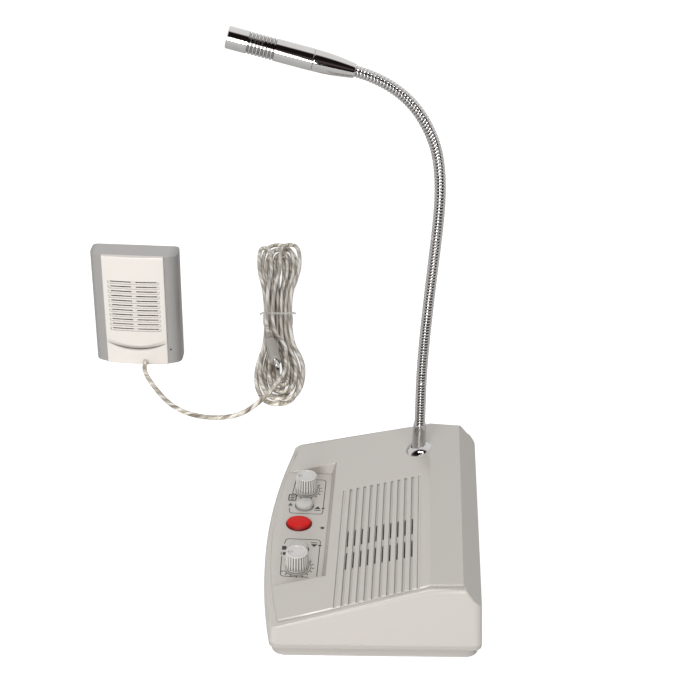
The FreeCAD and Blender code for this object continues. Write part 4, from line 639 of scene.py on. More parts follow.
SLOT_FINISHES = {
    "console_silver": Finishes.CONSOLE, "outer_silver": Finishes.OUTER_STRIP,
    "outer_light": Finishes.OUTER_LIGHT, "rubber": Finishes.RUBBER, "steel": Finishes.STEEL,
    "chrome": Finishes.CHROME, "bright_head": Finishes.HEAD, "knob_silver": Finishes.KNOB,
    "talk_red": Finishes.RED, "black_plastic": Finishes.BLACK, "white_plastic": Finishes.WHITE,
    "lamp": Finishes.LAMP, "board": Finishes.BOARD, "cone_paper": Finishes.CONE,
    "magnet": Finishes.MAGNET, "can": Finishes.CAN, "cord": Finishes.CORD, "tie": Finishes.TIE,
    "plug": Finishes.PLUG,
}


# ---- surfaces ----


@dataclass
class Surface:
    """A grid of points, rows by columns, that becomes a closed mesh.

    Rows run along the shape and columns around it. Where around is true, the last column joins
    the first. An end row whose points coincide becomes one pole; other end rows get a flat cap
    where caps is true. Where ring is true, the last row joins the first instead.
    """

    points: np.ndarray
    around: bool = True
    caps: bool = True
    ring: bool = False

    def faces(self) -> tuple:
        """The points as a list and the faces as lists of point numbers."""
        rows, cols = self.points.shape[:2]
        flat = self.points.reshape(-1, 3)
        number = np.arange(rows * cols).reshape(rows, cols)
        high = rows if self.ring else rows - 1
        wide = cols if self.around else cols - 1
        i, j = np.meshgrid(np.arange(high), np.arange(wide), indexing="ij")
        after_i, after_j = (i + 1) % rows, (j + 1) % cols
        quads = np.stack([number[i, j], number[i, after_j], number[after_i, after_j],
                          number[after_i, j]], -1)
        faces = quads.reshape(-1, 4).tolist()
        if self.caps and not self.ring:
            faces.append(number[0, ::-1].tolist())
            faces.append(number[-1].tolist())
        return flat, faces


@dataclass
class Shell:
    """Two grids of points, a front and a back, joined round the border and round each opening.

    The array solid says of each cell whether the shell is there.
    """

    front: np.ndarray
    back: np.ndarray
    solid: np.ndarray

    def faces(self) -> tuple:
        """The points as a list and the faces as lists of point numbers."""
        rows, cols = self.front.shape[:2]
        ahead = np.arange(rows * cols).reshape(rows, cols)
        behind = ahead + rows * cols
        sides = [np.stack([n[:-1, :-1], n[:-1, 1:], n[1:, 1:], n[1:, :-1]], -1)[self.solid]
                 for n in (ahead, behind)]
        framed = np.pad(self.solid, 1)
        i, j = np.nonzero(framed[1:-1, :-1] != framed[1:-1, 1:])
        sides.append(np.stack([ahead[i, j], ahead[i + 1, j], behind[i + 1, j], behind[i, j]], -1))
        i, j = np.nonzero(framed[:-1, 1:-1] != framed[1:, 1:-1])
        sides.append(np.stack([ahead[i, j], ahead[i, j + 1], behind[i, j + 1], behind[i, j]], -1))
        points = np.concatenate([self.front.reshape(-1, 3), self.back.reshape(-1, 3)])
        return points, np.concatenate(sides).tolist()


def make_mesh(name: str, surfaces: Sequence) -> bpy.types.Mesh:
    """One mesh from several grids; doubles are merged and faces turned outwards.

    Args:
        name: the mesh's name.
        surfaces: the grids.

    Returns:
        The mesh.
    """
    points, faces, start = [], [], 0
    for surface in surfaces:
        some, sides = surface.faces()
        points.append(some)
        faces += [[n + start for n in side] for side in sides]
        start += len(some)
    mesh = bpy.data.meshes.new(name)
    mesh.from_pydata(np.concatenate(points).tolist(), [], faces)
    shape = bmesh.new()
    shape.from_mesh(mesh)
    bmesh.ops.remove_doubles(shape, verts=shape.verts, dist=1e-7)
    bmesh.ops.recalc_face_normals(shape, faces=shape.faces)
    shape.to_mesh(mesh)
    shape.free()
    return mesh


def finish_piece(name: str, mesh: bpy.types.Mesh, finish: Finish, slot: str, body: Optional[Body],
                 replaces: Sequence[str] = (), sharp: float = 32.0) -> bpy.types.Object:
    """Put a mesh in the scene as a named piece.

    Args:
        name: the piece's name.
        mesh: its mesh, in the part's frame.
        finish: its finish.
        slot: the record's material slot; not used.
        body: the body it rides on, or none.
        replaces: the CAD nodes that it stands for.
        sharp: edges that turn by more degrees than this stay sharp.

    Returns:
        The piece.
    """
    mesh.shade_smooth()
    mesh.set_sharp_from_angle(angle=math.radians(sharp))
    mesh.materials.clear()
    mesh.materials.append(finish.material())
    piece = bpy.data.objects.new(name, mesh)
    bpy.context.scene.collection.objects.link(piece)
    if body is not None:
        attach(piece, body.value)
    if replaces:
        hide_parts(*replaces)
    LOG.info("%s: %d faces", name, len(mesh.polygons))
    return piece


@dataclass
class Stand:
    """Where a turned piece stands: its foot and the direction of its axis."""

    foot: np.ndarray
    axis: np.ndarray

    def sides(self) -> tuple:
        """Two directions square to the axis and to each other, the first as near X as can be."""
        axis = self.axis / np.linalg.norm(self.axis)
        first = np.array([1.0, 0.0, 0.0]) - axis * axis[0]
        if np.linalg.norm(first) < 0.2:
            first = np.array([0.0, 1.0, 0.0]) - axis * axis[1]
        first = first / np.linalg.norm(first)
        return first, np.cross(axis, first), axis

    def turned(self, profile: np.ndarray, around: int,
               swell: Optional[Callable[[np.ndarray, np.ndarray], np.ndarray]] = None,
               ring: bool = False) -> Surface:
        """A profile turned about the axis.

        Each point is the foot plus height times the axis plus radius times (cosine, sine) of the
        angle along the two sides; swell gives what is added to the radius at a height and angle.

        Args:
            profile: radius and height of each row.
            around: how many columns.
            swell: what is added to the radius, from the row's share and the angle.
            ring: whether the profile is closed on itself.

        Returns:
            The grid.
        """
        profile = np.asarray(profile, float)
        angle = np.linspace(0, 2 * math.pi, around, endpoint=False)
        radius = np.repeat(profile[:, :1], around, 1)
        if swell is not None:
            radius = radius + swell(np.arange(len(profile))[:, None], angle[None, :])
        first, second, axis = self.sides()
        points = (self.foot + profile[:, 1, None, None] * axis
                  + radius[...,
                           None] * (np.cos(angle)[:, None] * first + np.sin(angle)[:,
                                                                                   None] * second))
        return Surface(points, caps=not ring, ring=ring)


def rounded(profile: Sequence[tuple], radius: Sequence[float], steps: int = 5) -> np.ndarray:
    """A profile with its corners rounded.

    At each corner the arc is a blend of the two legs: start (1-t)^2 + corner 2t(1-t) + end t^2.

    Args:
        profile: the corners.
        radius: how far from each corner the rounding starts; 0 leaves it sharp.
        steps: points on each rounding.

    Returns:
        The points.
    """
    corners = np.asarray(profile, float)
    rows = [corners[:1]]
    share = np.linspace(0, 1, steps)[:, None]
    for before, corner, after, reach in zip(corners, corners[1:], corners[2:], radius[1:]):
        if reach <= 0:
            rows.append(corner[None])
            continue
        back, ahead = before - corner, after - corner
        start = corner + back * min(reach / np.linalg.norm(back), 0.5)
        end = corner + ahead * min(reach / np.linalg.norm(ahead), 0.5)
        rows.append((1 - share) ** 2 * start + 2 * share * (1 - share) * corner + share ** 2 * end)
    rows.append(corners[-1:])
    return np.concatenate(rows)


def carried(path: np.ndarray, section: np.ndarray, up: np.ndarray, closed: bool) -> Surface:
    """A flat section carried along a path.

    Each point is the path's point plus the section's first number times the side direction (the
    path's direction crossed with up) plus its second number times up.

    Args:
        path: the points.
        section: the section's corners, sideways and up.
        up: the direction that stays up.
        closed: whether the path joins itself.

    Returns:
        The grid.
    """
    if closed:
        ahead = np.roll(path, -1, 0) - np.roll(path, 1, 0)
    else:
        ahead = np.gradient(path, axis=0)
    ahead /= np.linalg.norm(ahead, axis=1, keepdims=True)
    side = np.cross(ahead, up)
    side /= np.linalg.norm(side, axis=1, keepdims=True)
    points = path[:, None] + section[None, :, :1] * side[:, None] + section[None, :, 1:] * up
    return Surface(points, ring=closed)


def recast(node: str, name: str, finish: Finish, slot: str, body: Body, sharp: float = 13.0,
           soften: float = 0.0, choose: Optional[Callable] = None) -> bpy.types.Object:
    """A CAD node's shape with its doubles merged, smooth where it is round and with eased edges.

    Args:
        node: the CAD node, which the piece stands for.
        name: the piece's name.
        finish: its finish.
        slot: the record's material slot, passed on but not used.
        body: the body it rides on.
        sharp: edges that turn by more degrees than this stay sharp.
        soften: how wide the eased edges are.
        choose: says of an outward edge whether it is eased.

    Returns:
        The piece.
    """
    mesh = frame["nodes"][node].data.copy()
    mesh.name = name
    shape = bmesh.new()
    shape.from_mesh(mesh)
    bmesh.ops.remove_doubles(shape, verts=shape.verts, dist=ONE_POINT)
    bmesh.ops.dissolve_limit(shape, angle_limit=FLAT, verts=shape.verts, edges=shape.edges)
    if soften:
        layer = shape.edges.layers.float.new("bevel_weight_edge")
        for edge in shape.edges:
            if len(edge.link_faces) == 2 and edge.calc_face_angle_signed(0) > OUTWARD:
                edge[layer] = float(choose is None or choose(edge))
    shape.to_mesh(mesh)
    shape.free()
    piece = finish_piece(name, mesh, finish, slot, body, (node,), sharp)
    if soften:
        ease = piece.modifiers.new("eased_edges", "BEVEL")
        ease.width = soften
        ease.segments = 4
        ease.limit_method = "WEIGHT"
        ease.use_clamp_overlap = False
        ease.harden_normals = True
    return piece


# ---- sub-assemblies ----


@dataclass
class Console:
    """The desk console's shell, boards and other pieces whose CAD shape is kept.

    The seam is where tray and top meet; a wall is a face that reaches it within the slack, and the
    edges eased lie above it by the clearance.
    """

    seam: float = 10.3 * MM
    slack: float = 0.2 * MM
    clearance: float = 2 * MM
    ease: float = 2.2 * MM
    upright: float = 0.3

    def dress(self) -> None:
        """Give every CAD node the finish of its slot."""
        for row in frame["record"]["subparts"]:
            node = frame["nodes"][row["node"]]
            finish = SLOT_FINISHES[row["material_slot"]]
            node.data.materials.clear()
            node.data.materials.append(finish.material())
        LOG.info("dressed %d nodes", len(frame["nodes"]))

    def outer(self, edge: bmesh.types.BMEdge) -> bool:
        """Whether an edge lies between the outer wall, which reaches the seam, and the top."""
        if min(v.co.z for v in edge.verts) < self.seam + self.clearance:
            return False
        reached = self.seam + self.slack
        walls = [abs(f.normal.z) < self.upright and min(v.co.z for v in f.verts) < reached
                 for f in edge.link_faces]
        return walls[0] != walls[1]

    def build(self) -> None:
        """The two housings."""
        recast("upper_housing", "console_top", Finishes.CONSOLE, "console_silver", Body.BASE,
               soften=self.ease, choose=self.outer)
        recast("lower_housing", "console_tray", Finishes.BASE, "console_silver", Body.BASE)


@dataclass
class Gooseneck:
    """The bending neck: one helical groove over its whole length, cut into pieces, one round each
    joint.

    Lengths are in millimetres. The shares are the route's points, across and up, as shares of the
    rise; the first joint lies the stub along the neck, and the reach is worked out at each joint
    but not used.
    """

    foot: tuple = (-56.3, 21.5, 67.485)
    rise: float = 231.5
    tilt: float = 13.6
    shares: tuple = (
        (0, 0), (-0.0013, 0.1274), (0.0043, 0.3132), (0.0143, 0.4829), (0.0216, 0.6069),
        (0.0225, 0.6933), (0.0168, 0.7581), (0.0048, 0.8121), (-0.0186, 0.8661), (-0.0488, 0.9114),
        (-0.0886, 0.9495), (-0.1404, 0.9801), (-0.1978, 1),
    )
    stub: float = 6.0
    segments: int = 5
    radius: float = 3.4
    groove: float = 0.5
    pitch: float = 2.0
    reach: float = 13.0
    rows_a_turn: int = 9
    around: int = 36
    narrow: int = 3

    def __post_init__(self) -> None:
        """Work out the centre line."""
        self.line, self.way, self.length = self.centre_line()

    def centre_line(self) -> tuple:
        """A cubic through the route's points with both end directions given.

        The parameter is the chord length; the directions at the points solve the usual
        three-term rows that make the second derivative continuous.

        Returns:
            Points and directions at even lengths, and the total length, in millimetres.
        """
        shares = np.array(self.shares, float)
        knots = np.array(self.foot[1:]) + shares * self.rise
        chord = np.linalg.norm(np.diff(knots, axis=0), axis=1)
        count = len(knots)
        rows, right = np.zeros((count, count)), np.zeros((count, 2))
        tilt = math.radians(self.tilt)
        rows[0, 0] = rows[-1, -1] = 1
        right[0], right[-1] = (0, 1), (-math.cos(tilt), math.sin(tilt))
        for n in range(1, count - 1):
            before, after = chord[n - 1], chord[n]
            rows[n, n - 1:n + 2] = after, 2 * (before + after), before
            right[n] = 3 * (after / before * (knots[n] - knots[n - 1])
                            + before / after * (knots[n + 1] - knots[n]))
        slopes = np.linalg.solve(rows, right)
        t = np.linspace(0, 1, 400, endpoint=False)[:, None, None]
        h = chord[None, :, None]
        start, end = knots[None, :-1], knots[None, 1:]
        curve = ((2 * t ** 3 - 3 * t ** 2 + 1) * start + (3 * t ** 2 - 2 * t ** 3) * end
                 + (t ** 3 - 2 * t ** 2 + t) * h * slopes[None, :-1]
                 + (t ** 3 - t ** 2) * h * slopes[None, 1:])
        dense = np.concatenate([curve.transpose(1, 0, 2).reshape(-1, 2), knots[-1:]])
        along = np.concatenate([[0], np.cumsum(np.linalg.norm(np.diff(dense, axis=0), axis=1))])
        return dense, along, float(along[-1])

    def at(self, length: np.ndarray) -> tuple:
        """Points and directions at distances along the neck.

        Args:
            length: the distances in millimetres.

        Returns:
            Points (Y, Z) and unit directions.
        """
        def point(where: np.ndarray) -> np.ndarray:
            """The points at distances."""
            return np.stack([np.interp(where, self.way, self.line[:, k]) for k in (0, 1)], -1)

        low, high = np.clip(length - 0.25, 0, self.length), np.clip(length + 0.25, 0, self.length)
        run = point(high) - point(low)
        return point(length), run / np.linalg.norm(run, axis=-1, keepdims=True)

    def pivots(self) -> list:
        """Distances along the neck of the joints."""
        run = (self.length - self.stub) / self.segments
        return [self.stub + n * run for n in range(self.segments)]

    def sleeve(self, low: float, high: float) -> Surface:
        """One piece of the neck's wound surface.

        The radius is the neck's less the groove's depth times a narrow dip of the phase, where
        the phase is length over pitch plus the angle's share of a turn.

        Args:
            low: where it starts.
            high: where it ends.

        Returns:
            The grid.
        """
        rows = max(8, int(round((high - low) / self.pitch * self.rows_a_turn)))
        length = np.linspace(low, high, rows)
        angle = np.linspace(0, 2 * math.pi, self.around, endpoint=False)
        phase = length[:, None] / self.pitch + angle[None, :] / (2 * math.pi)
        dip = (0.5 - 0.5 * np.cos(2 * math.pi * phase)) ** self.narrow
        radius = self.radius - self.groove * dip
        centre, run = self.at(length)
        across = np.stack([-run[:, 1], run[:, 0]], -1)
        x = self.foot[0] + radius * np.cos(angle)
        yz = centre[:, None] + (radius * np.sin(angle))[..., None] * across[:, None]
        return Surface(np.concatenate([x[..., None], yz], -1) * MM)

    def build(self) -> None:
        """Five sleeves, each round one joint, fixed in place."""
        pivots = self.pivots()
        middles = [(a + b) / 2 for a, b in zip(pivots, pivots[1:])]
        cuts = [0.0] + middles + [self.length]
        for n, pivot in enumerate(pivots):
            mesh = make_mesh("neck_sleeve_%d" % (n + 1), [self.sleeve(cuts[n], cuts[n + 1])])
            nodes = ["neck_segment_%d" % (n + 1)] + (["neck_root"] if n == 0 else [])
            piece = finish_piece("neck_sleeve_%d" % (n + 1), mesh, Finishes.NECK, "chrome", None,
                                 nodes, 60)
            where, run = self.at(np.array([pivot]))
            reach = min(self.reach, pivot - 1.0) if n == 0 else self.reach
            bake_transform(piece)


@dataclass
class NeckBase:
    """The chrome dome on the console and the ferrule that the neck comes out of.

    Lengths are in millimetres and the slope, the console top's, in degrees.
    """

    at: tuple = (-56.3, 21.5, 47.485)
    slope: float = 16.736
    dome_radius: float = 8.5
    dome_rise: float = 4.6
    lip: float = 0.22
    throat: float = 4.6
    bore: float = 3.1
    collar: tuple = ((0, 1.6), (4.5, 1.6), (4.5, 3.0), (4.42, 6.5), (4.0, 18.6), (3.75, 20.0),
                     (3.42, 20.0), (0, 19.6))
    collar_eases: tuple = (0, 0.3, 1.0, 2.0, 1.0, 0.3, 0.1, 0)

    def build(self) -> None:
        """A domed ring laid on the slope, and an upright ferrule with a flared foot."""
        foot = np.array(self.at) * MM
        tilt = math.radians(self.slope)
        stand = Stand(foot, np.array([0, -math.sin(tilt), math.cos(tilt)]))
        r, h = self.dome_radius, self.dome_rise
        ball = (r * r + h * h) / (2 * h)
        wide = np.linspace(r - 0.12, self.throat, 22)
        high = np.sqrt(ball ** 2 - wide ** 2) - (ball - h)
        dome = np.stack([wide, np.maximum(high, self.lip + 0.03)], -1)
        profile = np.concatenate([[(self.bore, 0.05), (r, 0.0), (r, self.lip)], dome,
                                  [(self.throat - 0.3, dome[-1, 1] - 0.35), (self.bore, 1.2)]])
        mesh = make_mesh("neck_dome", [stand.turned(profile * MM, 72, ring=True)])
        finish_piece("neck_dome", mesh, Finishes.CHROME, "chrome", Body.BASE, ("neck_flange",), 40)
        profile = rounded(self.collar, self.collar_eases)
        mesh = make_mesh("neck_collar",
                         [Stand(foot, np.array([0, 0, 1.0])).turned(profile * MM, 64)])
        finish_piece("neck_collar", mesh, Finishes.CHROME, "chrome", Body.BASE, ("neck_ferrule",),
                     40)


@dataclass
class MicrophoneHead:
    """The chrome head: a tapered rear, a barrel with ring grooves and a wire mesh in its mouth.

    Lengths are in millimetres. The taper has its radius at the neck and what it grows by; the
    mouth has its radius and depth, and the mesh its reach, its gap and its wire's radius.
    """

    foot: tuple = (-56.3, -24.3, 299.0)
    tilt: float = 13.6
    radius: float = 6.3
    cone: float = 24.0
    barrel: float = 49.5
    grooves: int = 8
    pitch: float = 2.05
    first: float = 11.5
    dip: float = 0.7
    taper: tuple = (4.0, 2.2)
    edge: float = 0.45
    mouth: tuple = (5.3, 3.2)
    mesh: tuple = (5.35, 0.82, 0.2)

    def stand(self, along: float) -> Stand:
        """The head's frame, moved along its axis.

        Args:
            along: how far from the neck's end, in millimetres.

        Returns:
            The frame.
        """
        tilt = math.radians(self.tilt)
        axis = np.array([0, -math.cos(tilt), math.sin(tilt)])
        return Stand((np.array(self.foot) + axis * along) * MM, axis)

    def build(self) -> None:
        """The rear taper, the barrel, the grooves as rounded dips of its radius, and the mesh.

        The taper's radius rises by one less the square of what is left of its length.
        """
        share = np.linspace(0.02, 1, 40)
        start, growth = self.taper
        swept = np.stack([start + growth * (1 - (1 - share) ** 2),
                          self.cone * share - 0.25 * (share == 1)], -1)
        rear = np.concatenate([[(0, 0), (3.8, 0), (3.95, 0.15)], swept,
                               [(6.0, self.cone), (0, self.cone)]])
        mesh = make_mesh("head_taper", [self.stand(0).turned(rear * MM, 72)])
        finish_piece("head_taper", mesh, Finishes.HEAD, "bright_head", Body.NECK_5, ("mic_cone",),
                     40)
        start = self.barrel - self.first - self.grooves * self.pitch
        h = np.linspace(self.edge, self.barrel - self.edge, 620)
        phase = (h - start) / self.pitch
        inside = (phase > 0) & (phase < self.grooves)
        dip = np.where(inside, np.clip(1.6 * (np.sin(math.pi * (phase % 1)) - 0.42), 0, 1), 0)
        wall = np.stack([self.radius - self.dip * dip, h], -1)
        edge, end = self.radius - self.edge, self.barrel
        mouth, deep = self.mouth
        profile = np.concatenate([[(0, 0), (edge, 0)], wall,
                                  [(edge, end), (mouth + 0.1, end), (mouth, end - 1.0),
                                   (mouth, end - deep), (0, end - deep)]])
        mesh = make_mesh("head_barrel", [self.stand(self.cone).turned(profile * MM, 72)])
        finish_piece("head_barrel", mesh, Finishes.HEAD, "bright_head", Body.NECK_5,
                     ("mic_barrel",), 40)
        self.weave()

    def weave(self) -> None:
        """Crossed wires over the mouth, each a thin tube that rises and falls over the others."""
        stand = self.stand(self.cone + self.barrel - 1.5)
        first, second, axis = stand.sides()
        reach, gap, wire = self.mesh
        wires = []
        turn = np.linspace(0, 2 * math.pi, 6, endpoint=False)
        section = np.stack([np.cos(turn), np.sin(turn)], -1) * wire
        for n, place in enumerate(np.arange(-6, 7) * gap):
            half = math.sqrt(max(0.2, reach ** 2 - place ** 2))
            run = np.linspace(-half, half, 37)
            wave = 0.16 * np.cos(math.pi * (run / gap + n))
            lift = wave + 0.35 * (1 - (run ** 2 + place ** 2) / reach ** 2)
            for a, b, sign in ((first, second, 1), (second, first, -1)):
                bowl = lift if sign > 0 else lift - 2 * wave
                path = stand.foot + (run[:, None] * a + place * b + bowl[:, None] * axis) * MM
                wires.append(carried(path, section * MM, axis, False))
        finish_piece("head_mesh", make_mesh("head_mesh", wires), Finishes.STEEL, "black_plastic",
                     Body.NECK_5,
                     ("mic_grille",), 60)


@dataclass
class Knob:
    """A ribbed volume knob with a pointer on its top; lengths are in millimetres."""

    side: str
    body: Body
    x: float
    y: float = -49.4
    foot: float = 22.9
    height: float = 10.9
    radius: float = 7.2
    top: float = 6.5
    ribs: int = 24
    depth: float = 0.85
    bore: float = 3.05
    rim: float = 0.75
    dish: float = 0.4

    def build(self) -> None:
        """A tapered wall whose radius rises and falls with the angle, a rim and a shallow dish."""
        h, edge = self.height, self.rim
        wall = np.linspace(0.9, h - edge, 14)
        taper = self.radius + (self.top - self.radius) * wall / h
        rim = rounded([(taper[-1], h - edge), (taper[-1] - 0.05, h), (taper[-1] - 1.2, h)],
                      [0, 0.7, 0], 7)
        profile = np.concatenate([
            [(self.bore, h - 1.9), (self.bore, 0.0), (self.radius, 0.0), (self.radius, 0.7)],
            np.stack([taper, wall], -1), rim[1:], [(self.top - 1.5, h - 0.35), (0, h - self.dish)]])
        profile = np.concatenate([[(0, h - 1.9)], profile])
        fluted = np.zeros(len(profile))
        fluted[6:6 + len(wall) - 1] = 1.0
        fluted[5] = 0.5
        fluted[6 + len(wall) - 1] = 0.6

        def swell(row: np.ndarray, angle: np.ndarray) -> np.ndarray:
            """Flutes: minus the depth times a rounded wave of the angle."""
            wave = np.abs(np.sin(angle * self.ribs / 2)) ** 0.7
            return -self.depth * MM * fluted[row] * (1 - wave)

        stand = Stand(np.array([self.x, self.y, self.foot]) * MM, np.array([0, 0, 1.0]))
        mark = self.pointer()
        mesh = make_mesh(self.side + "_knob_cap",
                         [stand.turned(profile * MM, self.ribs * 10, swell), mark])
        finish_piece(self.side + "_knob_cap", mesh, Finishes.KNOB, "knob_silver", self.body,
                     (self.side + "_volume_knob",), 34)

    def pointer(self) -> Surface:
        """A low bar along the top, from near the middle to the rim."""
        level = self.foot + self.height - 0.22
        path = np.array([[self.x, self.y + s, level] for s in (-self.top + 0.55, -2.6)])
        section = np.array([(-0.35, -0.25), (0.35, -0.25), (0.28, 0.3), (-0.28, 0.3)])
        return carried(path * MM, section * MM, np.array([0, 0, 1.0]), False)


@dataclass
class PushButton:
    """A round push button's cap with an eased crown; lengths are in millimetres."""

    name: str
    body: Body
    node: str
    slot: str
    finish: Finish
    x: float
    y: float
    radius: float
    rise: float
    ease: float
    flats: int = 0
    oval: float = 0.0
    shoulder: float = 0.5
    crown: float = 0.2
    floor: float = 22.3
    under: float = 18.85

    def build(self) -> None:
        """The cap turned from its profile: flange, wall, slanted shoulder and a low crown.

        Flats cut the shoulder to a polygon with rounded corners: its radius at an angle is the
        flat's distance over the cosine of the angle from the flat's middle. An oval crown is
        narrower along X by the square of the angle's cosine.
        """
        r, top, low = self.radius, self.floor + self.rise, self.under
        lean = self.rise - self.shoulder
        wall = rounded([(r, self.floor - 0.9), (r - 0.02, self.floor + self.shoulder),
                        (r - self.ease, top - self.crown), (0.3 * r, top)],
                       [0, 0.3, min(lean, self.ease) * 0.45, 0], 6)
        profile = np.concatenate([[(0, top - 2.0), (r - 1.3, top - 2.0), (r - 1.2, low),
                                   (r + 1.1, low),
                                   (r + 1.1, low + 1.1), (r, low + 1.1)], wall, [(0, top + 0.02)]])
        height, half = profile[:, 1], math.pi / max(self.flats, 1)

        def swell(row: np.ndarray, angle: np.ndarray) -> np.ndarray:
            """What the flats take off, growing from the panel to the top."""
            share = np.clip((height[row] - self.floor) / self.rise, 0,
                            1) * (np.arange(len(height))[row] > 5)
            bend = np.cos(half) / np.cos((angle % (2 * half)) - half) - 1
            flat = profile[:, 0][row] * share * bend * (self.flats > 0)
            return (flat - self.oval * share * profile[:, 0][row] / r * np.cos(angle) ** 2) * MM

        stand = Stand(np.array([self.x, self.y, 0]) * MM, np.array([0, 0, 1.0]))
        mesh = make_mesh(self.name, [stand.turned(profile * MM, 96, swell)])
        finish_piece(self.name, mesh, self.finish, self.slot, self.body, (self.node,), 38)


@dataclass
class PanelPrint:
    """The printed frames, ticks and small signs beside the controls, in millimetres."""

    floor: float = 22.3
    thick: float = 0.05
    width: float = 0.48
    surfaces: list = field(default_factory=list)

    def line(self, corners: Sequence[tuple], closed: bool, reach: float = 0.0,
             width: Optional[float] = None) -> None:
        """A printed line through corners, eased where reach is given.

        Args:
            corners: the corners.
            closed: whether it joins itself.
            reach: how far from a corner its rounding starts.
            width: the line's width.
        """
        points = np.asarray(corners, float)
        if closed:
            half = (points[0] + points[-1]) / 2
            loop = np.concatenate([[half], points, [half]])
            points = rounded(loop, [reach] * len(loop), 6)[:-1]
        elif reach:
            points = rounded(points, [reach] * len(points), 6)
        path = np.concatenate([points, np.full((len(points), 1), self.floor)], 1) * MM
        half, thick = (width or self.width) / 2, self.thick
        section = np.array([(-half, -thick), (half, -thick), (half, thick), (-half, thick)])
        self.surfaces.append(carried(path, section * MM, np.array([0, 0, 1.0]), closed))

    def plate(self, corners: Sequence[tuple]) -> None:
        """A printed filled shape.

        Args:
            corners: its corners.
        """
        points = np.asarray(corners, float)
        rows = [np.concatenate([points, np.full((len(points), 1), z)], 1) for z in
                (self.floor - self.thick, self.floor + self.thick)]
        self.surfaces.append(Surface(np.array(rows) * MM))

    def triangle(self, x: float, y: float, size: float, sign: int) -> None:
        """A filled triangle with a bar under it, pointing along X by its sign."""
        self.plate([(x - sign * size * 0.2, y - size / 2), (x + sign * size * 0.55, y),
                    (x - sign * size * 0.2, y + size / 2)])
        foot = x - sign * size * 0.55
        self.line([(foot, y - size / 2), (foot, y + size / 2)], False, 0, 0.6)

    def ticks(self, x: float, y: float) -> None:
        """An arc round a knob and short strokes outside it, growing towards the loud end."""
        arc = np.radians(np.linspace(-140, 150, 50))
        self.line(np.stack([x + 8.4 * np.sin(arc), y + 8.4 * np.cos(arc)], -1), False, 0, 0.4)
        for n, angle in enumerate(np.radians(np.linspace(-140, 150, 15))):
            way = np.array([math.sin(angle), math.cos(angle)])
            self.line(np.array([x, y]) + np.outer((9.0, 10.1 + 0.02 * n), way), False, 0, 0.7)

    def build(self) -> None:
        """Both frames with their signs, as one piece of print."""
        self.line([(-36.9, -58.1), (-52.9, -56.9), (-52.9, -37.5), (-15.5, -37.5), (-15.5, -58.5),
                   (-21.0, -58.8)], False, 2.4)
        self.line([(16.2, -58.7), (11.0, -58.2), (11.0, -37.0), (46.5, -37.0)], False, 2.4)
        self.line([(28.6, -59.4), (47.5, -58.6), (47.5, -42.0)], False, 2.4)
        self.line([(-35.6, -60.0), (-35.6, -55.5), (-28.6, -55.5), (-28.6, -60.0)], True, 1.3, 0.75)
        for x in (-33.9, -32.1, -30.3):
            self.line([(x, -59.0), (x, -56.5)], False, 0, 0.95)
        self.triangle(-21.6, -41.0, 4.0, -1)
        self.triangle(16.2, -40.6, 4.0, 1)
        self.triangle(-24.6, -58.4, 2.8, -1)
        self.line([(-21.6, -38.4), (-21.6, -36.6)], False, 0, 1.0)
        self.line([(16.6, -38.2), (16.6, -36.0)], False, 0, 1.0)
        self.plate([(18.4, -59.9), (22.2, -59.9), (22.2, -57.6), (20.3, -56.9), (18.4, -57.6)])
        self.plate([(24.4, -59.0), (27.2, -59.0), (27.2, -57.2), (24.4, -57.2)])
        self.line([(24.4, -59.9), (27.2, -59.9)], False, 0, 0.4)
        self.ticks(-41.0, -49.4)
        self.ticks(38.0, -49.4)
        finish_piece("panel_print", make_mesh("panel_print", self.surfaces), Finishes.INK,
                     "black_plastic",
                     Body.BASE, (), 40)


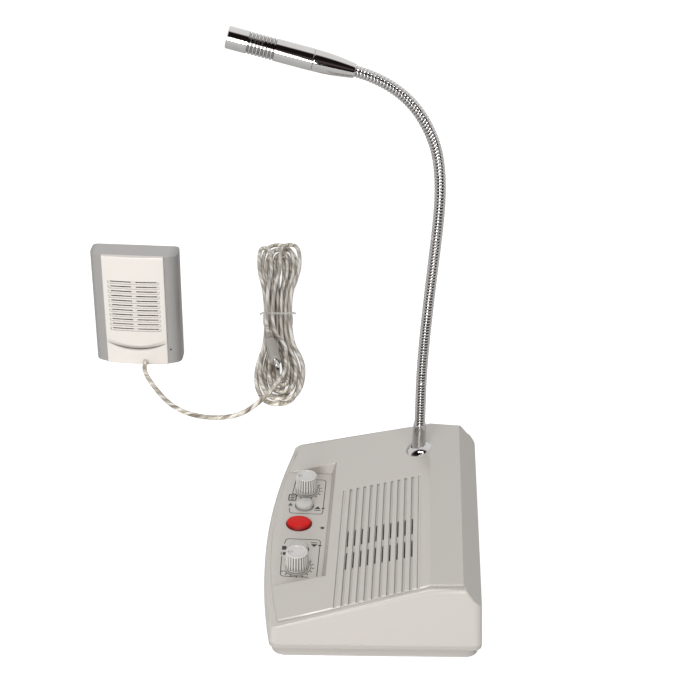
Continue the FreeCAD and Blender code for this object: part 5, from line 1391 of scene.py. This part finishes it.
@dataclass
class OuterUnit:
    """The customer's small speaker unit: its housing and its light front panel.

    Lengths are in millimetres. A rim has half its width, half its height, its corners' radius and
    its depth. A slot has its inner end, its outer end and its foot above the rim's middle. The
    smile has its lower and upper level, its bow and its depth, and the grille's hollow has half
    its width, its foot, its top and what it leaves of the panel.
    """

    front: float = -227.5
    middle: float = OUTER_MIDDLE
    half: float = 23.0
    height: float = 90.6
    side: float = 32.6
    tall: float = 60.0
    corner: float = 4.0
    crown: float = 1.2
    back: float = -231.5
    rows: int = 11
    lowest: float = 29.9
    pitch: float = 3.95
    rim: tuple = (19.15, 1.25, 1.0, 0.6)
    slot: tuple = (1.7, 17.2, 0.12)
    smile: tuple = (*SMILE, 2.6)
    grille: tuple = (20.6, 27.0, 72.5, 1.05)

    def upright(self, edge: bmesh.types.BMEdge) -> bool:
        """Whether an edge is one of the housing's four long upright corners."""
        low, high = (v.co for v in edge.verts)
        across = abs(low.y - self.middle * MM)
        return abs(low.z - high.z) > self.tall * MM and abs(across - self.side * MM) < 0.1 * MM

    def columns(self) -> np.ndarray:
        """Places across the panel, closer together at the rims' ends and the border."""
        inner, outer, _ = self.slot
        end = self.rim[0]
        side = np.concatenate([[0, inner / 2], np.linspace(inner, outer, 15),
                               end - np.array([1.3, 1, 0.7, 0.4, 0.2, 0]),
                               [end + 0.12, 20.2, 21.2], self.half - np.array([0.8, 0.4, 0.15, 0])])
        return np.concatenate([-side[:0:-1], side])

    def levels(self) -> np.ndarray:
        """Places up the panel, with a line at each edge of the smile, the rims and the slots."""
        low, high, _, _ = self.smile
        tall = self.rim[1]
        middles = self.lowest + self.pitch * np.arange(self.rows)
        steps = np.array([-tall - 0.12, -tall, -tall + 0.3, -tall + 0.8, self.slot[2], tall,
                          tall + 0.12])
        parts = [[0, 0.15, 0.4, 0.8, 2.5, 4.5, 6.5, 8.5, 10.5, low - 0.25],
                 np.linspace(low, high, 14),
                 [high + 0.3, 18, 20, 22, 24, 26, 27.3], (middles[:, None] + steps).ravel(),
                 np.linspace(72.5, self.height - 1.5, 9),
                 self.height - np.array([0.8, 0.4, 0.15, 0])]
        return np.concatenate(parts)

    def panel(self) -> Shell:
        """The panel's front and back.

        The front falls back by the crown times the square of the share across it, by a rounded
        box's depth at each rim, by the smile's scoop, which deepens downwards to a crisp lower
        edge, and by a small rounding at the border. The rows below the rims bend with the smile.
        The back is hollowed behind the grille, where the slots go through.
        """
        y, s = np.meshgrid(self.columns(), self.levels())
        low, high, bow, scoop = self.smile
        sag = bow - np.sqrt(bow ** 2 - y ** 2)
        z = s + sag * np.interp(s, [0, low - 0.3, high + 0.3, 28.0], [0, 1, 1, 0])
        fall = self.crown * (y / self.half) ** 2
        wide, tall, corner, deep = self.rim
        number = np.clip(np.round((z - self.lowest) / self.pitch), 0, self.rows - 1)
        nearest = self.lowest + self.pitch * number
        over = np.maximum(np.abs(y) - wide + corner,
                          0), np.maximum(np.abs(z - nearest) - tall + corner, 0)
        outside = np.hypot(*over) - corner
        fall = fall + deep * np.clip(1 - outside / 0.12, 0, 1)
        share = np.clip((high - s) / (high - low), 0, 1) * (s >= low)
        fall = fall + scoop * (1 - (y / (self.half + 1)) ** 2) * share
        border = np.minimum.reduce([self.half - np.abs(y), s, self.height - s])
        fall = fall + 0.35 * np.clip(1 - border / 0.6, 0, 1) ** 2
        reach, bottom, top, thick = self.grille
        hollow = (np.clip((reach - np.abs(y)) / 0.4, 0, 1) * np.clip((z - bottom) / 0.5, 0, 1)
                  * np.clip((top - z) / 0.5, 0, 1))
        inner = self.front - self.crown * (y / self.half) ** 2 - thick
        behind = self.back + hollow * (inner - self.back)
        front, back = (np.stack([x, y + self.middle, z], -1) * MM for x in (self.front - fall,
                                                                            behind))
        across = np.abs(y[:-1, :-1] + y[:-1, 1:]) / 2
        up = (z[:-1, :-1] + z[1:, :-1]) / 2
        row = (up - self.lowest + self.pitch / 2) % self.pitch - self.pitch / 2
        inside = (up > self.lowest - 2) & (up < self.lowest + self.pitch * self.rows - 2)
        near, far, foot = self.slot
        slots = inside & (row > foot) & (row < tall) & (across > near) & (across < far)
        return Shell(front, back, ~slots)

    def build(self) -> None:
        """The housing with its upright corners rounded, the panel, and the grommet's finish."""
        recast("outer_housing", "outer_shell", Finishes.OUTER_STRIP, "outer_silver", Body.BASE,
               soften=self.corner * MM, choose=self.upright)
        finish_piece("outer_face", make_mesh("outer_face", [self.panel()]), Finishes.OUTER_LIGHT,
                     "outer_light", Body.BASE, ("outer_front_panel",), 30)
        grommet = frame["nodes"]["cord_grommet"].data
        grommet.materials.clear()
        grommet.materials.append(Finishes.GROMMET.material())


@dataclass
class CordRun:
    """The cord from the outer unit: its free run and its hank, one spline with its own points.

    Lengths are in millimetres, but for the cord's own length, and the turns in degrees. The lead
    holds the free run's points. The hank is measured along it (u) and across it (v) from its
    middle: its runs end at the reach, lie a step apart from the first inwards, and draw together
    at the waist. The sways are small wanders of the runs between.
    """

    diameter: float = 3.4
    length: float = 3.63
    exit: tuple = (-226.0, -186.0, 2.4)
    lead: tuple = (
        (-226.0, -186.0, 2.4), (-218.0, -186.0, 2.4), (-205.0, -180.5, 1.8), (-190.5, -172.5, 1.8),
        (-174.5, -162.5, 1.8), (-161.0, -149.5, 1.8), (-154.2, -134.0, 1.8), (-154.0, -118.0, 1.8),
        (-158.5, -104.5, 3.0), (-167.0, -93.0, 8.0), (-181.0, -84.0, 12.3), (-194.5, -80.0, 12.2),
    )
    middle: tuple = (-306.3, -89.3)
    turn: float = 5.1
    reach: float = 112.1
    first: float = 16.2
    step: float = 2.8
    waist: float = 12.0
    waist_step: float = 3.83
    waist_core: float = 0.545
    lift: float = 1.1
    layer: float = 3.83
    turns: int = 5
    lead_in: tuple = (84.0, 3.2, 14.0)
    lead_waist: float = 4.5
    lead_far: float = 1.0
    tail_waist: float = 9.5
    tail_far: float = 8.0
    tail_end: tuple = (45.0, -9.9)
    plug_turn: float = 7.8
    plug_height: float = 12.68
    squeeze: float = 0.9
    inner_short: float = 8.0
    widen: float = 1.16
    waist_shift: float = -2.6
    sways: tuple = (0.5, -0.3, 0.7, 0.2, -0.6, 0.4, -0.2, 0.6, -0.5, 0.1, 0.8, -0.7, 0.3)

    def spot(self, u: float, v: float, z: float) -> tuple:
        """A point of the hank: u along it, v across it.

        Args:
            u: along the hank, towards the front of the picture.
            v: across it.
            z: height.

        Returns:
            The point in the part's frame, in millimetres.
        """
        turn = math.radians(self.turn)
        return (self.middle[0] + u * math.cos(turn) - v * math.sin(turn),
                self.middle[1] + u * math.sin(turn) + v * math.cos(turn), z)

    def height(self, layer: int) -> float:
        """Height of a layer's centre line."""
        return self.diameter / 2 + 0.1 + layer * self.layer

    def waist_side(self, side: float) -> float:
        """How far from the middle a run lies at the waist."""
        return (side * self.waist_step / (2 * self.step) - self.waist_core) * self.squeeze

    def spread(self, v: float) -> float:
        """A place across the hank, a little further out on the outer unit's side."""
        return v * self.widen if v < 0 else v

    def sway(self, points: list, start: tuple, end: tuple, share: float = 0.36) -> None:
        """Two points that carry a run from one place to another with both ends along it.

        Args:
            points: the list they join.
            start: u, v and z where it starts.
            end: u, v and z where it ends.
            share: how far in from each end they stand.
        """
        gap = end[0] - start[0]
        points.append(self.spot(start[0] + gap * share, start[1] + next(self.wander), start[2]))
        points.append(self.spot(end[0] - gap * share, end[1] + next(self.wander), end[2]))

    def bend(self, points: list, start: tuple, after: float, bend: float, sign: float) -> None:
        """Four points that turn a run back, each loop drawn out along the hank.

        Args:
            points: the list they join.
            start: u, v and z where the bend starts.
            after: v where it ends.
            bend: half the loop's width.
            sign: 1 at the near end, -1 at the far one.
        """
        u, v, z = start
        short = self.inner_short * (1 - bend / self.first)
        end = u + sign * (bend * 1.15 - short)
        points.append(self.spot(u - sign * (short + 7), v, z))
        points.append(self.spot(end - sign * bend * 0.45, v * 0.86 + after * 0.14, z))
        points.append(self.spot(end, v * 0.66 + after * 0.34, z))
        points.append(self.spot(end, v * 0.34 + after * 0.66, z))
        points.append(self.spot(end - sign * bend * 0.45, v * 0.14 + after * 0.86, z))
        points.append(self.spot(u - sign * (short + 7), after, z))

    def route(self) -> np.ndarray:
        """The spline's own points: the lead's, then two a leg and two a bend round the hank."""
        points = list(self.lead)
        low, middle, top = (self.height(n) for n in range(3))
        self.wander = itertools.cycle(self.sways)
        u, v, run = self.lead_in
        high = top + self.lift
        points.append(self.spot(u + run, v, high))
        points.append(self.spot(u, v, high))
        over = (self.waist, -self.lead_waist + self.waist_shift, high)
        self.sway(points, (u, v, high), over)
        self.sway(points, over, (-self.reach, -self.lead_far, top))
        bend = (self.first + self.lead_far) / 2
        self.bend(points, (-self.reach, -self.lead_far, top), self.first, bend, -1)
        inner = self.first - self.step * self.turns
        last = 2 * self.turns + 1

        def side_of(n: int) -> float:
            """How far a run's ends lie from the middle; the lower runs lie between the upper."""
            if n <= self.turns:
                return self.first - self.step * n
            return inner + self.step * (n - self.turns - 1)

        for n in range(last + 1):
            sign = 1 if n % 2 == 0 else -1
            side, after = side_of(n), side_of(n + 1)
            start_z = top if n == 0 else (middle if n <= self.turns else low)
            end_z = low if n == self.turns else (middle if n < self.turns else low)
            if n == last:
                end_z, after = top, self.tail_far
            waist = (self.waist, sign * self.waist_side(side) + self.waist_shift,
                     (start_z + end_z) / 2 + self.lift)
            place = self.spread(sign * side)
            start, end = (-sign * self.reach, place), (sign * self.reach, place)
            self.sway(points, (*start, start_z), waist)
            self.sway(points, waist, (*end, end_z))
            back = self.spread(-sign * after if n < last else sign * after)
            self.bend(points, (*end, end_z), back, abs(end[1] - back) / 2, sign)
        turn = math.radians(self.plug_turn)
        tail = (self.waist, -self.tail_waist + self.waist_shift / 2, top + self.lift)
        self.sway(points, (-self.reach, -self.tail_far, top), tail)
        u, v = self.tail_end
        for back in (14.0, 7.0, 0.0):
            points.append(self.spot(u - back * math.cos(turn), v - back * math.sin(turn),
                                    self.plug_height))
        return np.array(points) * MM

    def build(self) -> bpy.types.Object:
        """The cord as one spline."""
        route = self.route()
        curve = bpy.data.curves.new("cord", "CURVE")
        curve.dimensions = "3D"
        curve.bevel_depth = self.diameter / 2 * MM
        curve.bevel_resolution = 5
        curve.resolution_u = 8
        curve.use_fill_caps = True
        spline = curve.splines.new("NURBS")
        spline.points.add(len(route) - 1)
        spline.points.foreach_set("co",
                                  np.concatenate([route, np.ones((len(route), 1))], 1).ravel())
        spline.order_u = 3
        spline.use_endpoint_u = True
        cord = bpy.data.objects.new("cord", curve)
        bpy.context.scene.collection.objects.link(cord)
        curve.materials.append(Finishes.CORD.material())
        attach(cord, Body.BASE.value)
        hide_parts("cord_lead", "cord_hank")
        LOG.info("cord: %d points", len(route))
        return cord

    def tie(self) -> bpy.types.Object:
        """A flat band round the waist, its two ends standing out at the sides."""
        gap = 0.25
        r = self.diameter / 2 + gap
        right = self.waist_side(self.first) + self.waist_shift + r
        left = -self.waist_side(self.first) + self.waist_shift - r
        high, low = self.height(2) + self.lift + r, self.height(0) + self.lift - r
        loop = rounded([((left + right) / 2, low), (right, low), (right, high), (left, high),
                        (left, low),
                        ((left + right) / 2, low)], [0, 3.2, 3.2, 3.2, 3.2, 0], 8)[:-1]
        path = np.array([self.spot(self.waist, v, z) for v, z in loop])
        along = np.array(self.spot(1, 0, 0)) - np.array(self.spot(0, 0, 0))
        section = np.array([(-0.42, -0.9), (0.42, -0.9), (0.42, 0.9), (-0.42, 0.9)])
        band = carried(path * MM, section * MM, along, True)
        ends = []
        for v, side in ((right, 1), (left, -1)):
            run = np.array([self.spot(self.waist + 0.3 * side, v - 3.0 * side, high + 0.5),
                            self.spot(self.waist, v + 0.5 * side, high + 0.35),
                            self.spot(self.waist - 0.5 * side, v + 3.0 * side, high - 0.6)])
            ends.append(carried(run * MM, section * 0.8 * MM, np.array([0, 0, 1.0]), False))
        mesh = make_mesh("tie_band_piece", [band, *ends])
        return finish_piece("cord_tie", mesh, Finishes.TIE, "tie", Body.BASE, ("hank_tie",), 40)


@dataclass
class Studio:
    """Floor, lights and camera.

    The place is in millimetres and the angles in degrees. The dome gives the room's even light
    and what the console's front side adds. What mirrors see goes from bright to dark, with a
    brown hump between; behind is what the camera sees past the floor. The glow is the floor's for
    the camera, for mirrors and for what it lights. A softbox has its place, its size and its power.
    """

    place: tuple = (740.573, 6.035, 579.262)
    azimuth: float = 92.15
    elevation: float = 30.003
    roll: float = 1.187
    lens: float = 76.39
    dome: tuple = (0.28, 0.26)
    bright: float = 1.05
    dark: float = 0.012
    brown: float = 0.1
    behind: float = 0.95
    glow: tuple = (0.8, 0.12, 0.05)
    key: tuple = ((0.75, -0.05, 1.5), (0.25, 1.0), 10.4)
    side: tuple = ((1.7, -0.3, 0.45), (1.0, 0.6), 16.6)

    def camera(self) -> None:
        """The camera at the photograph's place, turned and tilted as there."""
        a, e, r = (math.radians(v) for v in (self.azimuth, self.elevation, self.roll))
        ahead = Vector((-math.sin(a) * math.cos(e), math.cos(a) * math.cos(e), -math.sin(e)))
        side = ahead.cross(Vector((0, 0, 1))).normalized()
        up = side.cross(ahead)
        right = side * math.cos(r) + up * math.sin(r)
        high = up * math.cos(r) - side * math.sin(r)
        data = bpy.data.cameras.new("camera")
        data.lens, data.sensor_width = self.lens, 36.0
        data.clip_start, data.clip_end = 0.01, 50.0
        camera = bpy.data.objects.new("camera", data)
        turned = Matrix((right, high, -ahead)).transposed().to_4x4()
        camera.matrix_world = Matrix.Translation(Vector(self.place) * MM) @ turned
        bpy.context.scene.collection.objects.link(camera)
        bpy.context.scene.camera = camera

    def floor(self) -> None:
        """A wide pale floor."""
        size, near = 6.0, 0.95
        mesh = bpy.data.meshes.new("floor")
        corners = [(-size, -size, 0), (near, -size, 0), (near, size, 0), (-size, size, 0)]
        mesh.from_pydata(corners, [], [(0, 1, 2, 3)])
        floor = bpy.data.objects.new("floor", mesh)
        floor.location.z = -0.0001
        sheet = NodeSheet("floor_paper")
        tone = sheet.spread(sheet.noise(6.0, 2.0), 0.3, 0.7, 0.0, 1.0)
        sheet.put("Base Color", sheet.blend(tone, (0.7, 0.7, 0.7), (0.71, 0.71, 0.71)))
        sheet.put("Roughness", 0.9)
        sheet.put("Specular IOR Level", 0.0)
        sheet.put("Emission Color", (1.0, 1.0, 1.0))
        rays = sheet.add("ShaderNodeLightPath", {}).outputs
        seen, mirrored, bounced = self.glow
        glow = sheet.compute("MULTIPLY_ADD", rays["Is Glossy Ray"], mirrored - seen, seen)
        glow = sheet.compute("MULTIPLY_ADD", rays["Is Diffuse Ray"], bounced - seen, glow)
        sheet.put("Emission Strength", glow)
        mesh.materials.append(sheet.material)
        bpy.context.scene.collection.objects.link(floor)

    def spare(self, name: str, pieces: Sequence) -> None:
        """Keep a light off the chrome pieces, which would mirror its outline.

        Args:
            name: the light's name.
            pieces: the pieces.
        """
        group = bpy.data.collections.new(name + "_off")
        for piece in pieces:
            group.objects.link(piece)
        bpy.data.objects[name].light_linking.receiver_collection = group
        for member in group.collection_objects:
            member.light_linking.link_state = "EXCLUDE"

    def softbox(self, name: str, place: tuple, aim: tuple, size: tuple, power: float) -> None:
        """A flat soft light that faces a point.

        Args:
            name: its name.
            place: where it hangs.
            aim: the point it faces.
            size: its width and height.
            power: in watts.
        """
        data = bpy.data.lights.new(name, "AREA")
        data.shape, data.size, data.size_y, data.energy = "RECTANGLE", size[0], size[1], power
        light = bpy.data.objects.new(name, data)
        light.location = place
        light.rotation_euler = (Vector(aim) - Vector(place)).to_track_quat("-Z", "X").to_euler()
        bpy.context.scene.collection.objects.link(light)

    def sky(self) -> None:
        """A pale room. What mirrors see of it is dark on the camera's side and white elsewhere."""
        world = bpy.data.worlds.new("room")
        bpy.context.scene.world = world
        world.use_nodes = True
        nodes, links = world.node_tree.nodes, world.node_tree.links
        ground = next(n for n in nodes if n.type == "BACKGROUND")

        def step(operation: str, *values: object) -> bpy.types.NodeSocket:
            """One step of arithmetic."""
            node = nodes.new("ShaderNodeMath")
            node.operation = operation
            for socket, value in zip(node.inputs, values):
                if isinstance(value, bpy.types.NodeSocket):
                    links.new(value, socket)
                else:
                    socket.default_value = value
            return node.outputs[0]

        where = nodes.new("ShaderNodeTexCoord")
        parts = nodes.new("ShaderNodeSeparateXYZ")
        links.new(where.outputs["Generated"], parts.inputs[0])
        x, y, z = parts.outputs
        even, lobe = self.dome
        dome = step("MULTIPLY_ADD", step("MAXIMUM", step("MULTIPLY", y, -1.0), 0.0), lobe, even)
        edge = nodes.new("ShaderNodeMapRange")
        edge.interpolation_type = "SMOOTHSTEP"
        links.new(x, edge.inputs[0])
        for socket, value in zip(list(edge.inputs)[1:5], (0.02, 0.30, 1.0, 0.0)):
            socket.default_value = value
        light = edge.outputs[0]
        off = step("ABSOLUTE", step("MULTIPLY_ADD", z, 4.0, -1.2))
        hump = step("MAXIMUM", step("SUBTRACT", 1.0, off), 0.0)
        shade = step("MULTIPLY_ADD", hump, self.brown, self.dark)
        seen = step("MULTIPLY_ADD", light, step("SUBTRACT", self.bright, shade), shade)
        path = nodes.new("ShaderNodeLightPath")
        mirror = path.outputs["Is Glossy Ray"]
        value = step("MULTIPLY_ADD", step("SUBTRACT", seen, dome), mirror, dome)
        past = step("SUBTRACT", self.behind, value)
        value = step("MULTIPLY_ADD", past, path.outputs["Is Camera Ray"], value)
        links.new(value, ground.inputs[1])
        tint = nodes.new("ShaderNodeMix")
        tint.data_type = "RGBA"
        links.new(step("MULTIPLY", mirror, step("SUBTRACT", 1.0, light)), tint.inputs[0])
        tint.inputs[6].default_value = (1.0, 1.0, 1.0, 1.0)
        tint.inputs[7].default_value = (1.0, 0.76, 0.72, 1.0)
        links.new(tint.outputs[2], ground.inputs[0])

    def build(self) -> None:
        """Everything that isn't part of the object."""
        scene = bpy.context.scene
        scene.view_settings.view_transform = "Standard"
        self.camera()
        self.floor()
        self.sky()
        for name, (place, size, power) in (("key", self.key), ("side", self.side)):
            self.softbox(name, place, (0, 0, 0.05), size, power)


def main() -> None:
    """Build everything in order: camera and cord first, then the rest."""
    logging.basicConfig(level=logging.INFO, format="%(message)s")
    studio = Studio()
    studio.build()
    run = CordRun()
    cord = run.build()
    tie = run.tie()
    plug = recast("plug_body", "plug_shell", Finishes.PLUG, "plug", Body.BASE)
    tip = recast("plug_tip", "plug_pin", Finishes.CHROME, "chrome", Body.BASE)
    tuple(v * MM for v in run.exit)
    console = Console()
    console.dress()
    console.build()
    OuterUnit().build()
    Gooseneck().build()
    NeckBase().build()
    MicrophoneHead().build()
    Knob("left", Body.LEFT_KNOB, -41.0).build()
    Knob("right", Body.RIGHT_KNOB, 38.0).build()
    PushButton("talk_cap", Body.TALK, "talk_button", "talk_red", Finishes.RED, -5.0, -51.5, 7.8,
               2.4, 1.0,
               oval=2.4, shoulder=0.9).build()
    for side, body, x in (("left", Body.LEFT_PUSH, -23.8), ("right", Body.RIGHT_PUSH, 20.8)):
        PushButton(side + "_push_cap", body, side + "_push_button", "knob_silver", Finishes.KNOB,
                   x, -49.4, 5.6, 3.2, 0.9, 8, shoulder=1.9).build()
    PanelPrint().build()
    studio.spare("key", [bpy.data.objects[name] for name in ("head_taper", "head_barrel")])


if __name__ == "__main__":
    main()
